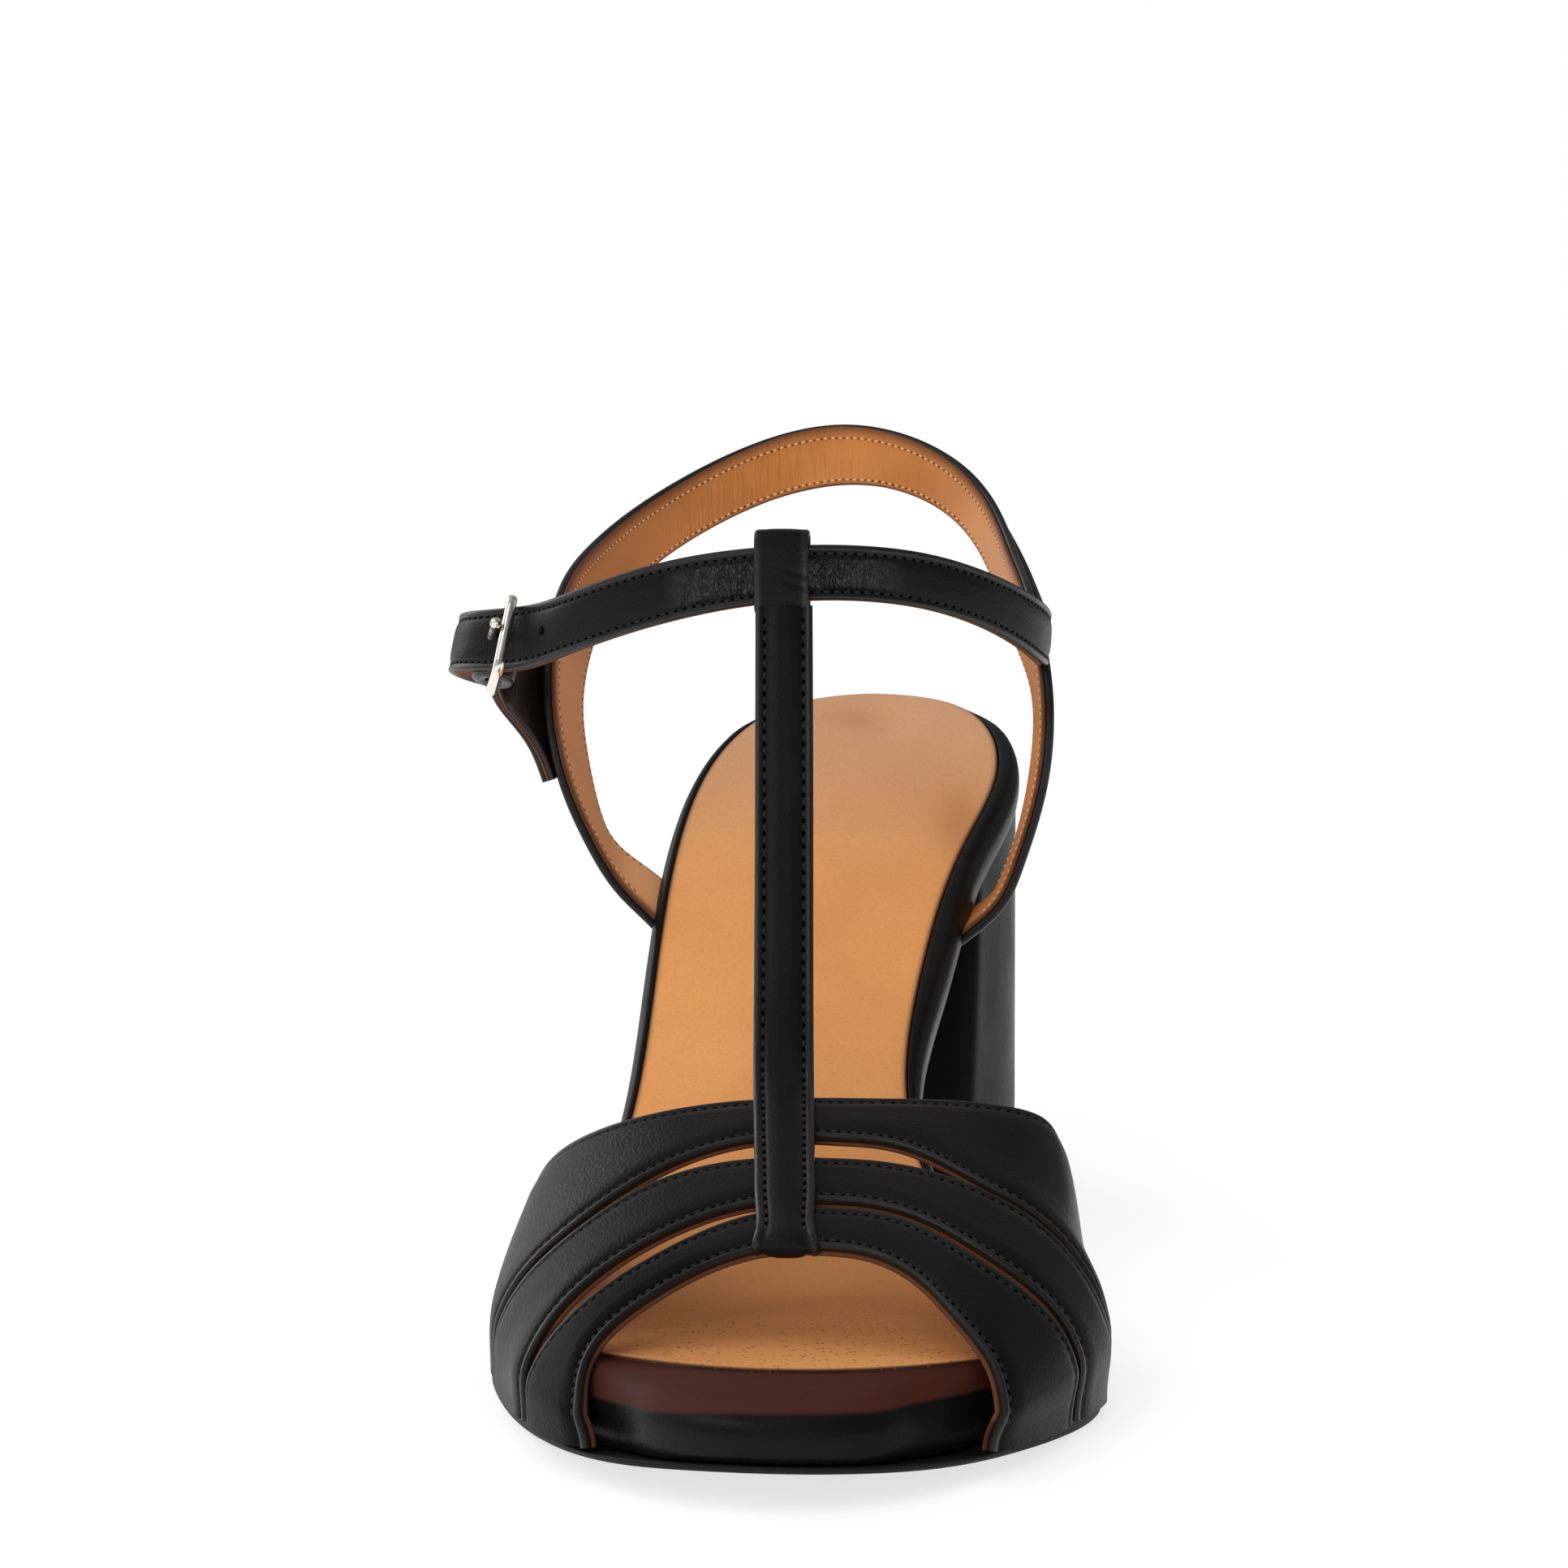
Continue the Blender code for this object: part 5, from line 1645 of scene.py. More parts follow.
@dataclass(frozen=True)
class Crease:
    """Soft crease across a strap: place along it, slant, reach from the first edge, width and depth."""

    along: float
    slant: float
    start: float
    end: float
    width: float
    depth: float

    def relief(self, along: Array, across: Array) -> Array:
        """Depth of the crease at places on the strap."""
        line = self.along + self.slant * (across - (self.start + self.end) / 2)
        past, within = 1.0, 0.5
        reach = ramp(across, self.start - past, self.start + within)
        reach = reach * ramp(across, self.end + past, self.end - within)
        return -self.depth * hump(along, line, self.width) * reach


def sewn_relief(seam: float, depth: float, crown: float, creases: Sequence[Crease] = ()) -> Relief:
    """Relief of a sewn strap: a trough under each seam, a soft crown between, and creases.

    Args:
        seam: Distance of the seams from the edges.
        depth: Depth of the troughs.
        crown: Height of the crown.
        creases: Creases, listed one by one.

    Returns:
        Function of distance along, distance across and distance from the nearer edge.
    """

    def relief(along: Array, across: Array, edge: Array) -> Array:
        """Height over the plain face."""
        height = crown * ramp(edge, seam, seam + CROWN_REACH) - depth * hump(edge, seam, TROUGH)
        for crease in creases:
            height = height + crease.relief(along, across)
        return height

    return relief


def edge_marks(along: Array, across: Array, edge: Array) -> Marks:
    """Marks of a folded strap: a little wear along its edges, and a polish beside them."""
    wear = EDGE_WEAR * np.exp(-edge / EDGE_REACH)
    return {"raw_edge": wear, "polish": hump(edge, EDGE_REACH, EDGE_POLISH)}


def foot_marks(along: Array, across: Array, edge: Array) -> Marks:
    """Marks of a toe strap's lining: a wide dark edge, its raw edge widened as painted shade under the
    strap, and painted shade at the feet, the outer one longer.
    """
    foot = np.minimum(along, (along.max() - along) * OUTER_FOOT_SHARE)
    # Painted shade towards both feet of the lining.
    tint = np.clip(0.5 + (FOOT_SHADE_REACH - foot) / REFLECTION_AND_SHADE_SPREAD, 0.0, 1.0)
    return {"raw_edge": hump(edge, 0.0, TOE_RAW_EDGE_AND_SHADE), "tint": tint}


def lining_marks(along: Array, across: Array, edge: Array) -> Marks:
    """Marks of a lining: a dark raw edge."""
    return {"raw_edge": hump(edge, 0.0, RAW_EDGE)}


@dataclass(frozen=True)
class ToeStrap:
    """One toe strap: its edges by angle, how far its lining sits back, and the look of its feet."""

    front_edge: tuple[float, ...]
    rear_edge: tuple[float, ...]
    lining_inset: float
    dull_inner: float
    dull_outer: float
    drawn: float


@dataclass
class ToeStraps:
    """Three fanned toe straps, the T-bar over them and the loop at its top."""

    bench: Workbench
    sewing: Sewing
    thickness: float = 1.8
    lining_thickness: float = 0.6
    seam: float = 1.45
    pitch: float = 1.45
    angles: tuple[float, ...] = (0.3, 22.0, 45.0, 67.0, 92.0, 115.0, 135.0, 155.0, 179.7)
    straps: tuple[ToeStrap, ...] = (
        ToeStrap(
            (14.4, 16.0, 19.2, 25.2, 35.5, 28.2, 20.6, 13.9, 10.6),
            (34.9, 34.7, 34.5, 37.7, 44.3, 37.5, 31.2, 28.0, 28.6),
            lining_inset=-0.12,
            dull_inner=0.16,
            dull_outer=0.3,
            drawn=0.03,
        ),
        ToeStrap(
            (36.6, 36.4, 36.4, 39.6, 46.1, 41.6, 35.8, 31.6, 30.4),
            (51.4, 49.0, 50.5, 53.0, 56.3, 55.2, 50.6, 49.8, 51.6),
            lining_inset=0.05,
            dull_inner=0.0,
            dull_outer=0.1,
            drawn=0.07,
        ),
        ToeStrap(
            (53.0, 50.6, 52.2, 54.7, 61.7, 58.3, 52.4, 51.6, 53.6),
            (80.0, 79.6, 76.4, 73.0, 72.0, 72.6, 76.0, 81.4, 84.6),
            lining_inset=0.05,
            dull_inner=0.0,
            dull_outer=0.0,
            drawn=0.11,
        ),
    )
    outer_foot_span: Pair = (0.55, 0.8)
    inner_foot_span: Pair = (0.36, 0.16)
    drawn_reach: float = 2.0
    drawn_dulls: float = 1.25
    trough: float = 0.3
    crown: float = 0.34
    lining_back: float = 0.25
    thread_sink: float = 0.26
    row_ends: float = 3.0
    bar_widths: Pair = (7.8, 8.5)
    bar_thickness: float = 1.6
    bar_pitch: float = 2.0
    toe_hole: Triple = (0.42, 0.42, 0.26)
    bar_hole: Triple = (0.85, 0.7, 0.3)
    bar_raise: float = 0.6
    bar_seam: float = 1.4
    bar_crown: float = 0.26
    bar_lining: float = 0.5
    bar_lining_back: float = 0.15
    bar_thread_sink: float = 0.3
    bar_row_ends: Pair = (9.0, 1.0)
    bar_foot: Pair = (-1.0, 35.5)
    bar_lead: Table = (
        (0.2, 5.0, -0.3, 8.4),
        (0.0, 2.0, -0.75, 8.6),
        (0.0, 0.4, -0.95, 8.7),
        (0.0, -0.4, -0.35, 8.7),
        (0.0, -0.1, 0.35, 8.4),
    )
    bar_seat: Pair = (-4.0, 73.0)
    bar_air: Table = ((-4.8, 84.0, 48.6), (-5.9, 100.0, 76.0), (-7.0, 114.7, 103.2))
    loop_middle: Triple = (-7.4, 116.6, 108.3)
    loop_reach: Pair = (2.45, 5.75)
    loop_square: float = 0.42
    loop_wall: float = 1.1
    loop_width: float = 8.1

    def build(self) -> None:
        """Builds and dresses the front of the upper."""
        outer, lining = MeshParts(), MeshParts()
        rows: list[StitchRow] = []
        for strap in self.straps:
            surface = self.strap_surface(strap)
            half = self.thickness / 2
            split = -half + self.lining_thickness
            cover = Layer(split, half, columns=14, relief=sewn_relief(self.seam, self.trough, self.crown))
            Ribbon(surface, cover).add_to(outer, self.cover_marks(strap))
            under = Layer(-half, split, strap.lining_inset, self.lining_back, columns=8)
            Ribbon(surface, under).add_to(lining, foot_marks)
            for edge in StrapEdge:
                points, normals = surface.line(edge, self.seam, half - self.thread_sink)
                rows.append(StitchRow(points, normals, self.pitch, self.row_ends, self.row_ends))
        finishes = self.bench.finishes
        outer.build(self.bench, "toe_straps_leather", finishes.black, Slot.BLACK_LEATHER, "upper_front")
        lining.build(self.bench, "toe_straps_lining", finishes.lining, Slot.TAN_LEATHER, "upper_front")
        sewn = self.sewing.sew_pair("toe_straps", rows, finishes.black_thread, self.toe_hole)
        sewn += self.sewing.sew_pair("t_bar", self.build_bar(), finishes.black_thread, self.bar_hole)
        for made in sewn:
            self.bench.declare(made, Slot.BLACK_LEATHER, "upper_front")

    def cover_marks(self, strap: ToeStrap) -> Marker:
        """Marks of one strap's leather: worn edges, and a duller, finely drawn face at its feet."""

        def marks(along: Array, across: Array, edge: Array) -> Marks:
            """Marks at places on the strap."""
            share = along / along.max()
            outer = ramp(share, *self.outer_foot_span)
            inner = ramp(share, *self.inner_foot_span)
            dull = strap.dull_inner * inner + strap.dull_outer * outer
            found = edge_marks(along, across, edge)
            drawn = strap.drawn * outer * ramp(edge, self.seam, self.seam + self.drawn_reach)
            polish = found["polish"] - dull - drawn * self.drawn_dulls
            return {**found, "polish": polish, "crackle": drawn}

        return marks

    def strap_surface(self, strap: ToeStrap) -> StrapSurface:
        """Middle surface of one toe strap on the toe form."""
        last = self.bench.last
        angles = np.linspace(self.angles[0], self.angles[-1], 181)
        table = spline(self.angles, np.stack([strap.front_edge, strap.rear_edge], axis=1), angles)

        def points_at(share: Array) -> Array:
            """Points half a thickness inside the toe form."""
            y = table[:, :1] * (1 - share) + table[:, 1:] * share
            turn = np.broadcast_to(angles[:, None], y.shape)
            outer = last.form_point(y, turn)
            inward = unit(np.cross(np.gradient(outer, axis=0), np.gradient(outer, axis=1)))
            middle = np.array([last.form_crest_x, 0.0, 8.0])
            inward *= np.sign(np.sum(inward * (middle - outer) * (1, 0, 1), axis=2, keepdims=True))
            return outer + inward * self.thickness / 2

        return StrapSurface(points_at, len(angles), np.array([0.0, 0.0, 1.0]))

    def bar_rows(self) -> Array:
        """Table of the T-bar's two edges, from under the front strap up to the loop."""
        last = self.bench.last
        x, y = self.bar_foot
        top = float(last.form_top(y))
        lead = [(x + aside, y + back, top + rise, width) for aside, back, rise, width in self.bar_lead]
        seat = []
        for share in np.linspace(0.04, 1.0, 6):
            at_x = x + (self.bar_seat[0] - x) * share
            at_y = y + (self.bar_seat[1] - y) * share
            width = self.bar_widths[0] + (self.bar_widths[1] - self.bar_widths[0]) * share
            seat.append((at_x, at_y, float(last.form_top(at_y)) + self.bar_raise, width))
        air = [(*point, self.bar_widths[1]) for point in self.bar_air]
        table = np.array([*lead, *seat, *air])
        half = np.zeros((len(table), 3))
        half[:, 0] = table[:, 3] / 2
        return np.hstack([table[:, :3] - half, table[:, :3] + half])

    def build_bar(self) -> list[StitchRow]:
        """T-bar and its loop; returns the bar's stitch rows."""
        finishes = self.bench.finishes
        surface = StrapSurface.between(path_through(self.bar_rows(), 220), (0.0, -0.7, 0.7))
        half = self.bar_thickness / 2
        split = -half + self.bar_lining
        outer, lining = MeshParts(), MeshParts()
        relief = sewn_relief(self.bar_seam, self.trough, self.bar_crown)
        Ribbon(surface, Layer(split, half, columns=10, relief=relief)).add_to(outer, edge_marks)
        back = self.bar_lining_back
        Ribbon(surface, Layer(-half, split, back, back, columns=6)).add_to(lining, lining_marks)
        loop = self.loop_surface()
        wall = self.loop_wall / 2
        loop_cover = Layer(-wall, wall, columns=10, relief=sewn_relief(0.9, 0.0, 0.1, self.loop_creases()))
        Ribbon(loop, loop_cover).add_to(outer, edge_marks)
        outer.build(self.bench, "t_bar_leather", finishes.black, Slot.BLACK_LEATHER, "upper_front")
        lining.build(self.bench, "t_bar_lining", finishes.lining, Slot.TAN_LEATHER, "upper_front")
        rows = []
        for edge in StrapEdge:
            points, normals = surface.line(edge, self.bar_seam, half - self.bar_thread_sink)
            rows.append(StitchRow(points, normals, self.bar_pitch, *self.bar_row_ends))
        return rows

    def loop_surface(self) -> StrapSurface:
        """Ring of leather round the ankle strap."""
        turn = np.linspace(0.0, 2 * math.pi, 120, endpoint=False)
        deep, tall = self.loop_reach
        cosine, sine = np.cos(turn), np.sin(turn)
        y = np.sign(cosine) * np.abs(cosine) ** self.loop_square * deep
        z = np.sign(sine) * np.abs(sine) ** self.loop_square * tall
        ring = np.stack([np.zeros(len(turn)), y, z], axis=1) + np.array(self.loop_middle)
        ring = even_loop(ring, len(turn))
        half = np.array([self.loop_width / 2, 0.0, 0.0])
        return StrapSurface.between(np.hstack([ring - half, ring + half]), (0.0, -1.0, 0.0), closed=True)

    def loop_creases(self) -> list[Crease]:
        """Small creases on the front of the loop."""
        return [Crease(15.0, 0.25, 5.2, 8.0, 0.5, 0.22), Crease(16.6, 0.3, 5.0, 7.6, 0.5, 0.22)]


@dataclass
class AnkleStraps:
    """Back strap round the heel and ankle strap through the buckle."""

    bench: Workbench
    sewing: Sewing
    back_thickness: float = 2.0
    ankle_thickness: float = 1.8
    lining_thickness: float = 0.6
    seam: float = 1.3
    lining_pitch: float = 1.3
    back_trough: float = 0.18
    back_crown: float = 0.14
    # Weight and reach of the lining's darkening towards its top edge.
    top_edge_darkening: Pair = (0.9, 1.6)
    wrinkles: Table = ((0.9, 0.5, 34.0), (0.5, 0.14, 14.0))
    # Paler runs of the lining: rubbed wear, and painted sheen and light.
    worn_sheen_end: Triple = (0.6, 42.0, 66.0)
    worn_sheen_back: Triple = (0.45, 48.0, 20.0)
    back_pitch: float = 1.6
    back_row_ends: float = 8.0
    back_thread_sink: float = 0.28
    back_lining_insets: Pair = (0.3, 0.12)
    lining_thread_sink: float = 0.02
    pleat_slants: Pair = (-0.02, 0.03)
    pleat_run: Triple = (3.0, 9.6, 0.42)
    back_inner_seams: Pair = (2.3, 1.0)
    ankle_pitch: float = 1.5
    ankle_row_ends: Pair = (2.0, 6.0)
    ankle_trough: float = 0.3
    ankle_crown: float = 0.16
    ankle_thread_sink: float = 0.3
    ankle_lining_insets: Pair = (0.1, -0.1)
    ankle_tail: float = 5.0
    crackle_weight: float = 1.4
    crackle_span: Pair = (19.0, 11.0)
    crackle_edge: Pair = (1.6, 2.4)
    crease_slants: Pair = (-0.16, 0.22)
    crease_run: Triple = (2.2, 7.0, 0.5)
    crease_depth: float = 0.17
    crease_places: tuple[float, ...] = (-14.6, -12.3, -10.2, -8.1, -6.4, 6.4, 8.0, 9.8, 11.9, 14.4)
    lining_stitch: Triple = (0.7, 0.4, 0.3)
    lining_hole: Triple = (0.5, 0.42, 0.2)
    spare_hole: float = 0.8
    spare_hole_x: float = -44.6
    spare_hole_before_y: float = 140.0
    loop_x: float = -7.4
    loop_before_y: float = 130.0
    loop_place: float = field(init=False, default=0.0)
    back_rows: Table = (
        (-32.3, 156.7, 51.3, -32.2, 168.0, 56.4),
        (-35.9, 156.0, 55.1, -37.3, 167.1, 60.3),
        (-40.8, 154.6, 63.0, -41.4, 166.2, 66.6),
        (-45.4, 152.8, 74.4, -43.4, 165.8, 75.6),
        (-47.6, 153.4, 88.0, -44.4, 166.6, 84.6),
        (-47.6, 161.6, 100.0, -43.8, 172.0, 92.4),
        (-44.2, 183.0, 110.4, -41.4, 189.0, 100.4),
        (-30.0, 206.4, 122.0, -29.4, 208.0, 111.2),
        (-4.5, 216.0, 130.6, -4.5, 216.2, 120.0),
        (17.4, 204.0, 123.0, 16.4, 206.4, 113.8),
        (25.6, 184.0, 110.2, 24.6, 189.4, 100.6),
        (29.6, 162.4, 100.4, 28.2, 172.4, 92.6),
        (31.9, 153.4, 87.6, 30.4, 166.4, 84.4),
        (31.3, 152.9, 74.6, 29.7, 165.8, 73.4),
        (27.4, 154.4, 60.5, 27.0, 166.4, 61.6),
        (24.8, 155.4, 54.5, 25.3, 167.0, 57.0),
        (19.3, 156.8, 49.0, 22.4, 167.6, 52.8),
    )
    back_tucks: Table = (
        (-28.6, 157.1, 47.4, -28.2, 168.5, 52.4),
        (15.2, 157.2, 45.8, 18.0, 168.2, 50.0),
    )
    lining_pleats: Table = (
        (-33.0, 0.10), (-27.5, 0.16), (-23.0, 0.12), (-18.6, 0.20),
        (-15.4, 0.12), (-11.2, 0.22), (-8.3, 0.12), (-4.4, 0.24),
        (-1.6, 0.14), (2.2, 0.22), (5.4, 0.14), (9.4, 0.20),
        (12.6, 0.12), (17.2, 0.18), (22.4, 0.12), (28.0, 0.14),
    )
    ankle_rows: Table = (
        (23.7, 194.6, 114.2, 23.0, 198.0, 107.2),
        (27.1, 184.6, 108.4, 26.5, 189.0, 101.2),
        (31.1, 164.4, 100.4, 30.3, 169.0, 93.2),
        (31.4, 150.0, 101.6, 31.0, 151.0, 92.6),
        (26.7, 134.0, 105.8, 26.6, 134.4, 97.0),
        (14.0, 121.4, 110.9, 14.0, 121.6, 102.6),
        (-7.4, 116.5, 112.2, -7.4, 116.7, 103.8),
        (-28.0, 120.4, 109.0, -28.0, 120.8, 99.8),
        (-42.0, 128.8, 104.2, -42.4, 129.2, 94.8),
        (-48.8, 137.0, 102.2, -50.6, 135.6, 92.4),
        (-57.0, 143.0, 101.2, -59.4, 142.8, 91.8),
        (-60.6, 152.0, 100.0, -62.4, 152.0, 90.6),
        (-59.6, 165.0, 97.4, -60.2, 165.4, 88.2),
        (-56.4, 178.0, 94.6, -56.6, 178.4, 86.0),
    )

    def build(self) -> None:
        """Builds and dresses the rear of the upper."""
        black_rows, tan_rows, hole_rows = self.build_back_strap()
        black_rows += self.build_ankle_strap()
        finishes = self.bench.finishes
        for made in self.sewing.sew_pair("rear_strap", black_rows, finishes.black_thread):
            self.bench.declare(made, Slot.BLACK_LEATHER, "upper_rear")
        made = self.sewing.sew("rear_lining_stitches", tan_rows, self.lining_stitch, finishes.tan_thread)
        self.bench.declare(made, Slot.TAN_LEATHER, "upper_rear")
        # Beads of raw-edge leather as painted shade in the lining's needle holes.
        made = self.sewing.sew("rear_lining_needle_holes", hole_rows, self.lining_hole, finishes.raw_core)
        self.bench.declare(made, Slot.TAN_LEATHER, "upper_rear")

    def build_back_strap(self) -> tuple[list[StitchRow], list[StitchRow], list[StitchRow]]:
        """Back strap; returns its outer stitches, its inner stitches and the needle holes between them."""
        finishes = self.bench.finishes
        first, last = self.back_tucks
        surface = StrapSurface.between(path_through((first, *self.back_rows, last), 380), (0.0, 1.0, 0.0))
        half = self.back_thickness / 2
        split = -half + self.lining_thickness
        outer, lining = MeshParts(), MeshParts()
        relief = sewn_relief(self.seam, self.back_trough, self.back_crown)
        Ribbon(surface, Layer(split, half, columns=10, relief=relief)).add_to(outer, edge_marks)
        length = surface.along[-1]

        def marks(along: Array, across: Array, edge: Array) -> Marks:
            """Dark raw edge, darker towards the top edge, pleats round the back, and two runs painted pale:
            rubbed wear with painted sheen and light.
            """
            found = lining_marks(along, across, edge)
            # Darker towards the top edge.
            weight, reach = self.top_edge_darkening
            found["raw_edge"] = np.maximum(found["raw_edge"], weight * hump(across, 0.0, reach))
            found["wrinkle"] = sum(w * hump(along, length * place, wide) for w, place, wide in self.wrinkles)
            # Rubbed wear with painted sheen and light: the lining is coloured paler near the lateral foot
            # and on the inner side past the back.
            weight, start, end = self.worn_sheen_end
            worn_sheen = weight * (1 - ramp(along, start, end))
            weight, past, reach = self.worn_sheen_back
            worn_sheen = worn_sheen + weight * hump(along, length * 0.5 + past, reach)
            found["faded"] = worn_sheen * (1 - found["raw_edge"])
            return found

        pleats = [
            Crease(length * 0.5 + place, self.pleat_slants[k % 2], *self.pleat_run, -height)
            for k, (place, height) in enumerate(self.lining_pleats)
        ]
        relief = sewn_relief(0.0, 0.0, 0.0, pleats)
        under = Layer(-half, split, *self.back_lining_insets, columns=14, relief=relief, relief_on_low=True)
        Ribbon(surface, under).add_to(lining, marks)
        outer.build(self.bench, "back_strap_leather", finishes.black, Slot.BLACK_LEATHER, "upper_rear")
        lining.build(self.bench, "back_strap_lining", finishes.lining, Slot.TAN_LEATHER, "upper_rear")
        black, tan, holes = [], [], []
        ends, pitch = self.back_row_ends, self.lining_pitch
        for edge, inside in zip(StrapEdge, self.back_inner_seams):
            points, normals = surface.line(edge, self.seam, half - self.back_thread_sink)
            black.append(StitchRow(points, normals, self.back_pitch, ends, ends))
            points, normals = surface.line(edge, inside, -half + self.lining_thread_sink)
            tan.append(StitchRow(points, -normals, pitch, ends, ends))
            holes.append(StitchRow(points, -normals, pitch, ends + pitch / 2, ends))
        return black, tan, holes

    def ankle_creases(self) -> list[Crease]:
        """Creases in the ankle strap on both sides of the T-bar's loop."""
        found = []
        for number, place in enumerate(self.crease_places):
            slant = self.crease_slants[number % 2]
            found.append(Crease(self.loop_place + place, slant, *self.crease_run, self.crease_depth))
        return found

    def build_ankle_strap(self) -> list[StitchRow]:
        """Ankle strap with its punched hole; returns its stitch rows."""
        finishes = self.bench.finishes
        surface = StrapSurface.between(path_through(self.ankle_rows, 420), (0.0, -1.0, 0.0))
        self.loop_place = float(surface.along[surface.row_at(self.loop_x, self.loop_before_y)])
        half = self.ankle_thickness / 2
        split = -half + self.lining_thickness
        outer, lining = MeshParts(), MeshParts()

        def marks(along: Array, across: Array, edge: Array) -> Marks:
            """Worn edges, and crackled grain on both sides of the loop."""
            found = edge_marks(along, across, edge)
            near = np.abs(along - self.loop_place)
            inside = ramp(edge, *self.crackle_edge)
            found["crackle"] = self.crackle_weight * ramp(near, *self.crackle_span) * inside
            return found

        relief = sewn_relief(self.seam, self.ankle_trough, self.ankle_crown, self.ankle_creases())
        tail = self.ankle_tail
        Ribbon(surface, Layer(split, half, columns=12, relief=relief, tail_round=tail)).add_to(outer, marks)
        under = Layer(-half, split, *self.ankle_lining_insets, columns=6, tail_round=tail)
        Ribbon(surface, under).add_to(lining, lining_marks)
        for parts, name, finish, slot in (
            (outer, "ankle_strap_leather", finishes.black, Slot.BLACK_LEATHER),
            (lining, "ankle_strap_lining", finishes.lining, Slot.TAN_LEATHER),
        ):
            self.punch(parts.build(self.bench, name, finish, slot, "upper_rear"), surface)
        rows = []
        for edge in StrapEdge:
            points, normals = surface.line(edge, self.seam, half - self.ankle_thread_sink)
            rows.append(StitchRow(points, normals, self.ankle_pitch, *self.ankle_row_ends))
        return rows

    def punch(self, piece: Piece, surface: StrapSurface) -> None:
        """Punches the spare hole through a layer of the ankle strap."""
        points, normals = surface.grid(np.tile(np.array([0.45, 0.5, 0.55]), (surface.rows, 1)))
        spot = surface.row_at(self.spare_hole_x, self.spare_hole_before_y)
        middle, axis = points[spot, 1], unit(normals[spot, 1])
        path = np.array([middle + axis * reach for reach in (-2.5, 0.0, 2.5)])
        loops = wire(path, self.spare_hole, np.array([0.0, 0.3, 1.0]), False, 24)
        cutter = self.bench.lofted("punch", loops, False, self.bench.finishes.raw_core)
        cut = piece.modifiers.new("punch", "BOOLEAN")
        cut.operation, cut.solver, cut.object = "DIFFERENCE", "EXACT", cutter
        bpy.context.view_layer.update()
        graph = bpy.context.evaluated_depsgraph_get()
        punched = bpy.data.meshes.new_from_object(piece.evaluated_get(graph))
        piece.modifiers.remove(cut)
        piece.data = punched
        bpy.data.objects.remove(cutter)


# Buckle


